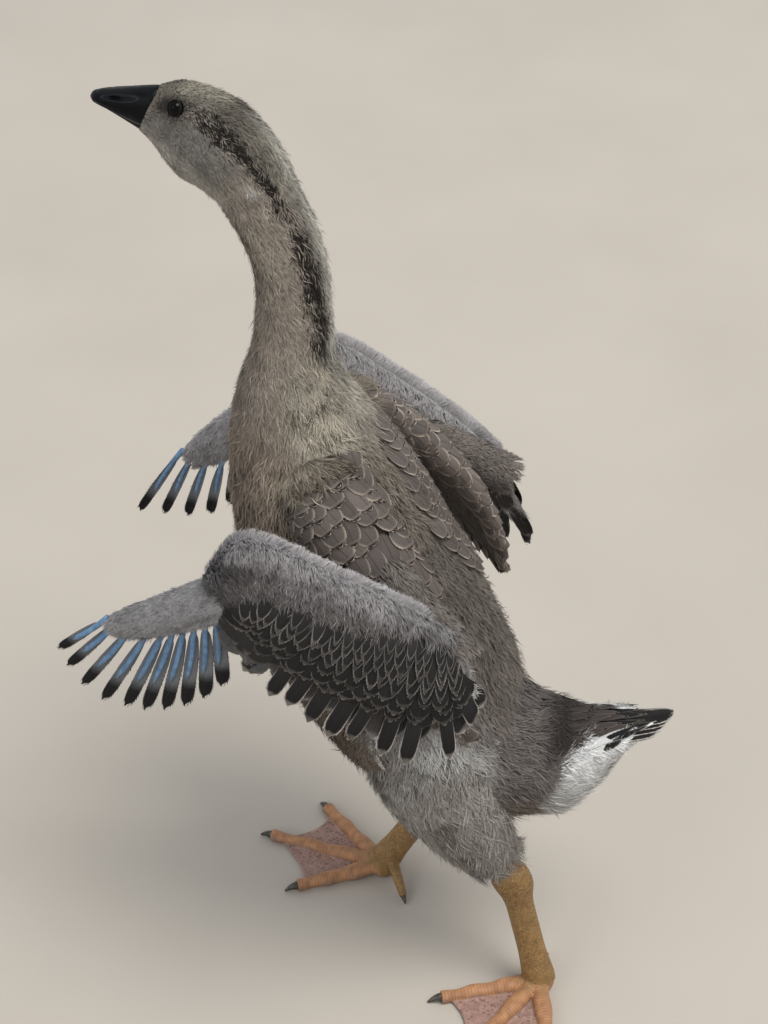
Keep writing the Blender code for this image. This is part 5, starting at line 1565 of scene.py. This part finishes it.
for side in "LR":
    leg = LEGS[side]
    for nm, (deg, length) in leg["toes"].items():
        r = TOE_R * 0.62
        z0c = r * 0.86
        pts, rad = [], []
        for k in range(12):
            f = k / 11
            p = np.array([leg["ball"][0], leg["ball"][1], 0]) + heading(deg) * (length - 0.0012 + 0.0118 * f)
            p[2] = z0c + 0.0009 * math.sin(math.pi * f) - (z0c - 0.0011) * f ** 1.6
            qr = r * (0.84 - 0.66 * f ** 1.2)
            pts.append(p)
            rad.append((qr * 0.95, min(qr, p[2] - 0.0001)))
        rings_object("claw_horn_%s_%s" % (side, nm),
                     [x + SHIFT for x in tube_between(pts, rad, 16, heading(deg + 90))],
                     CLAW, "claw_%s_%s" % (side, nm))
    hp = hallux_line(leg)
    hd = unit(hp[-1] - hp[-2])
    pts, rad = [], []
    for k in range(8):
        f = k / 7
        p = hp[-1] + hd * (-0.001 + 0.0072 * f)
        p[2] = max(p[2] - 0.0006 * f * f, 0.0012)
        pts.append(p)
        rad.append(((0.0028 * (1 - 0.78 * f),) * 2))
    rings_object("claw_horn_%s_hallux" % side,
                 [x + SHIFT for x in tube_between(pts, rad, 12, heading(leg["hallux"][0] + 90))],
                 CLAW, "claw_%s_hallux" % side)

# ------------------------------------------------------------------ bill
Y0, Z0 = STATIONS[0][0], STATIONS[0][1]
BILL = np.array([
    (Y0, Z0, 25, 0.0166, 0.0166, 0.0118), (-0.1640, 0.7082, 19, 0.0122, 0.0138, 0.0112),
    (-0.1730, 0.7098, 13, 0.0082, 0.0106, 0.0103), (-0.1810, 0.7108, 8, 0.0057, 0.0074, 0.0092),
    (-0.1875, 0.7112, 3, 0.0043, 0.0048, 0.0074), (-0.1918, 0.7110, -6, 0.0030, 0.0032, 0.0046),
    (-0.1939, 0.7107, -12, 0.0011, 0.0012, 0.0015)])
_d = math.radians(25)
g_base = np.array([0, Y0, Z0]) - np.array([0, math.sin(_d), math.cos(_d)]) * (0.2 * 0.0166 + 0.0035)
g_tip = np.array([0, -0.1939, 0.7115 - 0.0016])
g_along = unit(g_tip - g_base)
g_n = np.array([0, g_along[2], -g_along[1]])
g_n = g_n if g_n[2] > 0 else -g_n

m, nt, b = new_material("bill_horn")
c = node(nt, "ShaderNodeAttribute", attribute_name="Col").outputs["Color"]
g = ramp(nt, noise(nt, 160, 4.0), (0.30, (0.75, 0.75, 0.78)), (0.60, (1.0, 1.0, 1.0)), (0.82, (1.35, 1.37, 1.40)))
nt.links.new(blend(nt, "MULTIPLY", 1.0, c, g), b.inputs["Base Color"])
rg = ramp(nt, noise(nt, 240, 3.0), (0.3, (0.30, 0.30, 0.30)), (0.8, (0.52, 0.52, 0.52)))
nt.links.new(rg, b.inputs["Roughness"])
b.inputs["Specular IOR Level"].default_value = 0.10
bump(nt, b, noise(nt, 620, 4.0), 0.22, 0.0005)
HORN = m


def bill_piece(name, upper, replaces):
    R, K, M = 90, 61, 13
    V, C, F = [], [], []
    for i in range(R):
        s = 6.0 * (i / (R - 1)) ** 0.92
        y, z, dip, up, dn, wide = cat(BILL, np.array([s]))[0]
        if i == 0:
            y, z = y + 0.0012 * math.cos(math.radians(dip)), z - 0.0012 * math.sin(math.radians(dip))
        d = math.radians(dip)
        mm = np.array([0, math.sin(d), math.cos(d)])
        c0 = np.array([0, y, z])
        sd = (c0 - g_base) @ g_n
        mn = mm @ g_n
        cb = -sd / mn / (dn if sd > 0 else up)
        beta = math.acos(max(-0.999, min(0.999, cb)))
        a = np.linspace(-beta, beta, K) if upper else np.linspace(beta, 2 * math.pi - beta, K)
        ca, sa = np.cos(a), np.sin(a)
        flat = np.where(ca > 0, 0.80, 1.0)
        h = np.where(ca > 0, up, dn) * ca
        w = wide * np.sign(sa) * np.abs(sa) ** flat
        ring = c0 + mm * h[:, None] + np.stack([w, 0 * w, 0 * w], 1)
        out = unit(ring - c0)
        col = np.repeat(lin(9, 10, 13)[None], K, 0)
        disp = np.zeros(K)
        deg = np.degrees(np.abs(a))
        if upper:
            # long sunken field with a rim, the nostril's slit within it
            e = ((s - 2.25) / 1.35) ** 2 + ((deg - 50) / 17.0) ** 2
            field = 1 - step(e, 0.6, 1.1)
            rim = np.exp(-((e - 1.05) / 0.22) ** 2)
            disp += -0.00055 * field + 0.00030 * rim
            hole = np.exp(-(((s - 2.45) / 0.55) ** 2 + ((deg - 50) / 8.0) ** 2) ** 1.6)
            disp += -0.0018 * hole
            col = mix(col, lin(42, 45, 50), rim * 0.6)
            # painted shade inside the nostril's hole
            col = mix(col, lin(5, 5, 6), np.clip(hole * 1.4, 0, 1))
            # culmen ridge, lip along the gape, nail at the tip
            disp += 0.0003 * np.exp(-(deg / 9) ** 2) * (1 - step(s, 3.6, 4.6))
            lip = np.exp(-((math.degrees(beta) - deg) / 7.0) ** 2)
            disp += 0.00045 * lip * (1 - step(s, 5.0, 5.8))
            # the lip is paler: partly its own colour, partly a painted highlight along the gape
            col = mix(col, lin(44, 46, 50), lip * 0.5)
            # painted shade: a dark line in the gape between the mandibles
            gape_painted_shade = np.exp(-((math.degrees(beta) - deg) / 2.2) ** 2)
            col = mix(col, lin(6, 6, 7), np.clip(gape_painted_shade * 1.2, 0, 1))
            nail = step(s, 4.55, 4.75) * (1 - step(deg, 62, 74))
            disp += 0.00035 * nail * (1 - step(s, 5.6, 6.0))
            col = mix(col, lin(40, 42, 46), nail * 0.5)
            col = mix(col, lin(12, 12, 15), (1 - step(s, 0.0, 0.9)) * 0.6)
        else:
            dd = 180 - np.degrees(np.abs(np.pi - a))
            groove = np.exp(-((dd - math.degrees(beta) - 14) / 5.0) ** 2)
            disp += -0.00045 * groove * (1 - step(s, 4.6, 5.6))
            lam = np.sin(s * 42.0) * np.exp(-((dd - math.degrees(beta) - 4) / 4.0) ** 2)
            disp += 0.00016 * lam
            # pale line by the gape: partly the pale lamellae, partly a painted highlight
            col = mix(col, lin(104, 98, 96), np.exp(-((dd - math.degrees(beta) - 9) / 4.0) ** 2) * 0.7)
            # painted shade: the dark line in the gape
            col = mix(col, lin(6, 6, 7), np.clip(1.2 * np.exp(-((dd - math.degrees(beta)) / 3.0) ** 2), 0, 1))
        ring = ring + out * disp[:, None]
        # inner closing line, a shade hollow
        A, B2 = ring[-1], ring[0]
        inner = []
        for j in range(1, M + 1):
            t = j / (M + 1)
            p = A * (1 - t) + B2 * t
            sag = 0.0007 * math.sin(math.pi * t) * min(1, wide / 0.008)
            inner.append(p + g_n * (sag if upper else -sag))
        V += list(ring) + inner
        C += list(col) + [lin(30, 28, 30)] * M
    n = K + M
    for i in range(R - 1):
        for j in range(n):
            k = (j + 1) % n
            a0, a1, b0, b1 = i * n + j, i * n + k, (i + 1) * n + j, (i + 1) * n + k
            F += [(a0, a1, b1), (a0, b1, b0)]
    for i0 in (0, (R - 1) * n):
        c = len(V)
        V.append(np.mean(V[i0:i0 + n], axis=0))
        C.append(C[i0])
        for j in range(n):
            k = (j + 1) % n
            F.append((i0 + k, i0 + j, c) if i0 == 0 else (i0 + j, i0 + k, c))
    V = np.array(V) + SHIFT
    F = np.array(F)
    gap = 0.00014 if upper else -0.00014
    V = V + g_n * gap
    # faces outwards
    cen = V.mean(0)
    fn = np.cross(V[F[:, 1]] - V[F[:, 0]], V[F[:, 2]] - V[F[:, 0]])
    if ((V[F].mean(1) - cen) * fn).sum() < 0:
        F = F[:, ::-1]
    ob = tri_object(name, V, F, HORN, col=np.array(C))
    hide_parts(replaces)
    return ob


bill_piece("bill_upper_horn", True, "bill_upper")
bill_piece("bill_lower_horn", False, "bill_lower")

# ------------------------------------------------------------------ eyes and lids
m, nt, b = new_material("eye_wet")
c = node(nt, "ShaderNodeAttribute", attribute_name="Col").outputs["Color"]
g = ramp(nt, noise(nt, 1400, 3.0), (0.3, (0.7, 0.7, 0.7)), (0.7, (1.2, 1.2, 1.2)))
nt.links.new(blend(nt, "MULTIPLY", 1.0, c, g), b.inputs["Base Color"])
b.inputs["Roughness"].default_value = 0.05
b.inputs["Specular IOR Level"].default_value = 0.12
EYE = m
m, nt, b = new_material("eye_lid")
c = node(nt, "ShaderNodeAttribute", attribute_name="Col").outputs["Color"]
nt.links.new(blend(nt, "MULTIPLY", 1.0, c, ramp(nt, noise(nt, 1500, 2.0), (0.3, (0.7, 0.7, 0.7)), (0.7, (1.15, 1.15, 1.15)))),
             b.inputs["Base Color"])
b.inputs["Roughness"].default_value = 0.6
b.inputs["Specular IOR Level"].default_value = 0.15
bump(nt, b, noise(nt, 1800, 2.0), 0.4, 0.0003)
LID = m

for side in "LR":
    n = EYE_AXIS * np.array([SIGN[side], 1, 1])
    c0 = np.array(EYE_CENTRE) * np.array([SIGN[side], 1, 1]) + SHIFT
    fw = unit(np.array([0, -1, 0.15]) - n * (np.array([0, -1, 0.15]) @ n))
    upv = np.cross(n, fw)
    upv = upv if upv[2] > 0 else -upv
    V, C, F = [], [], []
    R, K = 36, 48
    for i in range(R):
        th = math.pi * i / (R - 1)
        bulge = 1 + 0.035 * math.exp(-(th / 0.5) ** 2)
        for j in range(K):
            ph = 2 * math.pi * j / K
            p = n * math.cos(th) + (fw * math.cos(ph) + upv * math.sin(ph)) * math.sin(th)
            V.append(c0 + p * EYE_RADIUS * 0.985 * bulge)
            C.append(lin(2, 2, 2) if th < 0.55 else lin(7, 5, 4) if th < 0.80 else lin(5, 4, 4))
    for i in range(R - 1):
        for j in range(K):
            k = (j + 1) % K
            a0, a1, b0, b1 = i * K + j, i * K + k, (i + 1) * K + j, (i + 1) * K + k
            F += [(a0, b0, b1), (a0, b1, a1)]
    ob = tri_object("eyeball_%s" % side, np.array(V), np.array(F), EYE, col=np.array(C))
    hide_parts("eye_%s" % side)
    # lids: a thin rolled rim on the eye, and a skirt that runs down to the skin
    V, C, F = [], [], []
    K = 72
    prof = [(0.0, -0.0001), (0.00015, 0.0003), (0.0004, 0.00035), (0.0007, 0.0001), (0.0010, -0.0009),
            (0.0011, -0.0022), (0.0012, -0.0036), (0.0013, -0.0048), (0.0010, -0.0050),
            (0.0007, -0.0038), (0.0004, -0.0024), (0.0002, -0.0010)]
    M = len(prof)
    for j in range(K):
        ph = 2 * math.pi * j / K
        ring_dir = fw * math.cos(ph) + upv * math.sin(ph)
        rj = math.hypot(0.00385 * math.cos(ph), 0.00475 * math.sin(ph))
        top = math.sqrt(max(0.0, (EYE_RADIUS * 0.985) ** 2 - rj * rj))
        crease = 0.00005 * math.sin(ph * 22)
        for k, (dr, dh) in enumerate(prof):
            V.append(c0 + ring_dir * (rj + dr + crease) + n * (top + dh))
            C.append(mix(lin(9, 8, 7), lin(30, 26, 22), np.array(min(1.0, dr / 0.0009)))
                     if k < 4 else lin(26, 22, 19))
    for j in range(K):
        for k in range(M):
            j2, k2 = (j + 1) % K, (k + 1) % M
            a0, a1, b0, b1 = j * M + k, j * M + k2, j2 * M + k, j2 * M + k2
            F += [(a0, b0, b1), (a0, b1, a1)]
    ob = tri_object("eyelids_%s" % side, np.array(V), np.array(F), LID, col=np.array(C))

# ------------------------------------------------------------------ floor, light, camera
m, nt, b = new_material("floor_pale")
g = ramp(nt, noise(nt, 3.0, 3.0), (0.3, tuple(lin(176, 168, 157))), (0.7, tuple(lin(182, 174, 163))))
nt.links.new(g, b.inputs["Base Color"])
b.inputs["Roughness"].default_value = 0.9
bump(nt, b, noise(nt, 500, 3.0), 0.1, 0.0005)
me = bpy.data.meshes.new("floor")
me.from_pydata([(-9, -9, 0), (9, -9, 0), (9, 9, 0), (-9, 9, 0)], [], [(0, 1, 2, 3)])
me.materials.append(m)
floor = bpy.data.objects.new("floor", me)
bpy.context.scene.collection.objects.link(floor)

world = bpy.data.worlds.new("studio")
world.use_nodes = True
world.node_tree.nodes["Background"].inputs[0].default_value = (0.93, 0.96, 1.0, 1)
world.node_tree.nodes["Background"].inputs[1].default_value = 0.72
bpy.context.scene.world = world


def area(name, loc, aim, size, power, color=(1, 1, 1)):
    li = bpy.data.lights.new(name, "AREA")
    li.shape = "DISK"
    li.size = size
    li.energy = power
    li.color = color
    ob = bpy.data.objects.new(name, li)
    ob.location = loc
    ob.rotation_euler = (Vector(aim) - Vector(loc)).to_track_quat("-Z", "Y").to_euler()
    bpy.context.scene.collection.objects.link(ob)
    return ob


area("key", (2.0, 4.4, 10.6), (0, 0, 0.3), 6.4, 1020, (1.0, 0.985, 0.965))
area("fill", (7.8, -5.2, 5.6), (0, 0, 0.3), 5.5, 210, (0.95, 0.975, 1.0))

cam = bpy.data.cameras.new("camera")
cam.sensor_width = 36.0
cam.sensor_fit = "AUTO"
cam.lens = 84.375
cam.clip_start = 0.05
camera = bpy.data.objects.new("camera", cam)
az, el = math.radians(100), math.radians(36)
aim = Vector((SHIFT[0], SHIFT[1], 0.40))
back = Vector((math.sin(az) * math.cos(el), -math.cos(az) * math.cos(el), math.sin(el)))
camera.location = aim + back * 1.72
camera.rotation_euler = (-back).to_track_quat("-Z", "Y").to_euler()
bpy.context.scene.collection.objects.link(camera)
bpy.context.scene.camera = camera
bpy.context.scene.view_settings.view_transform = "Standard"
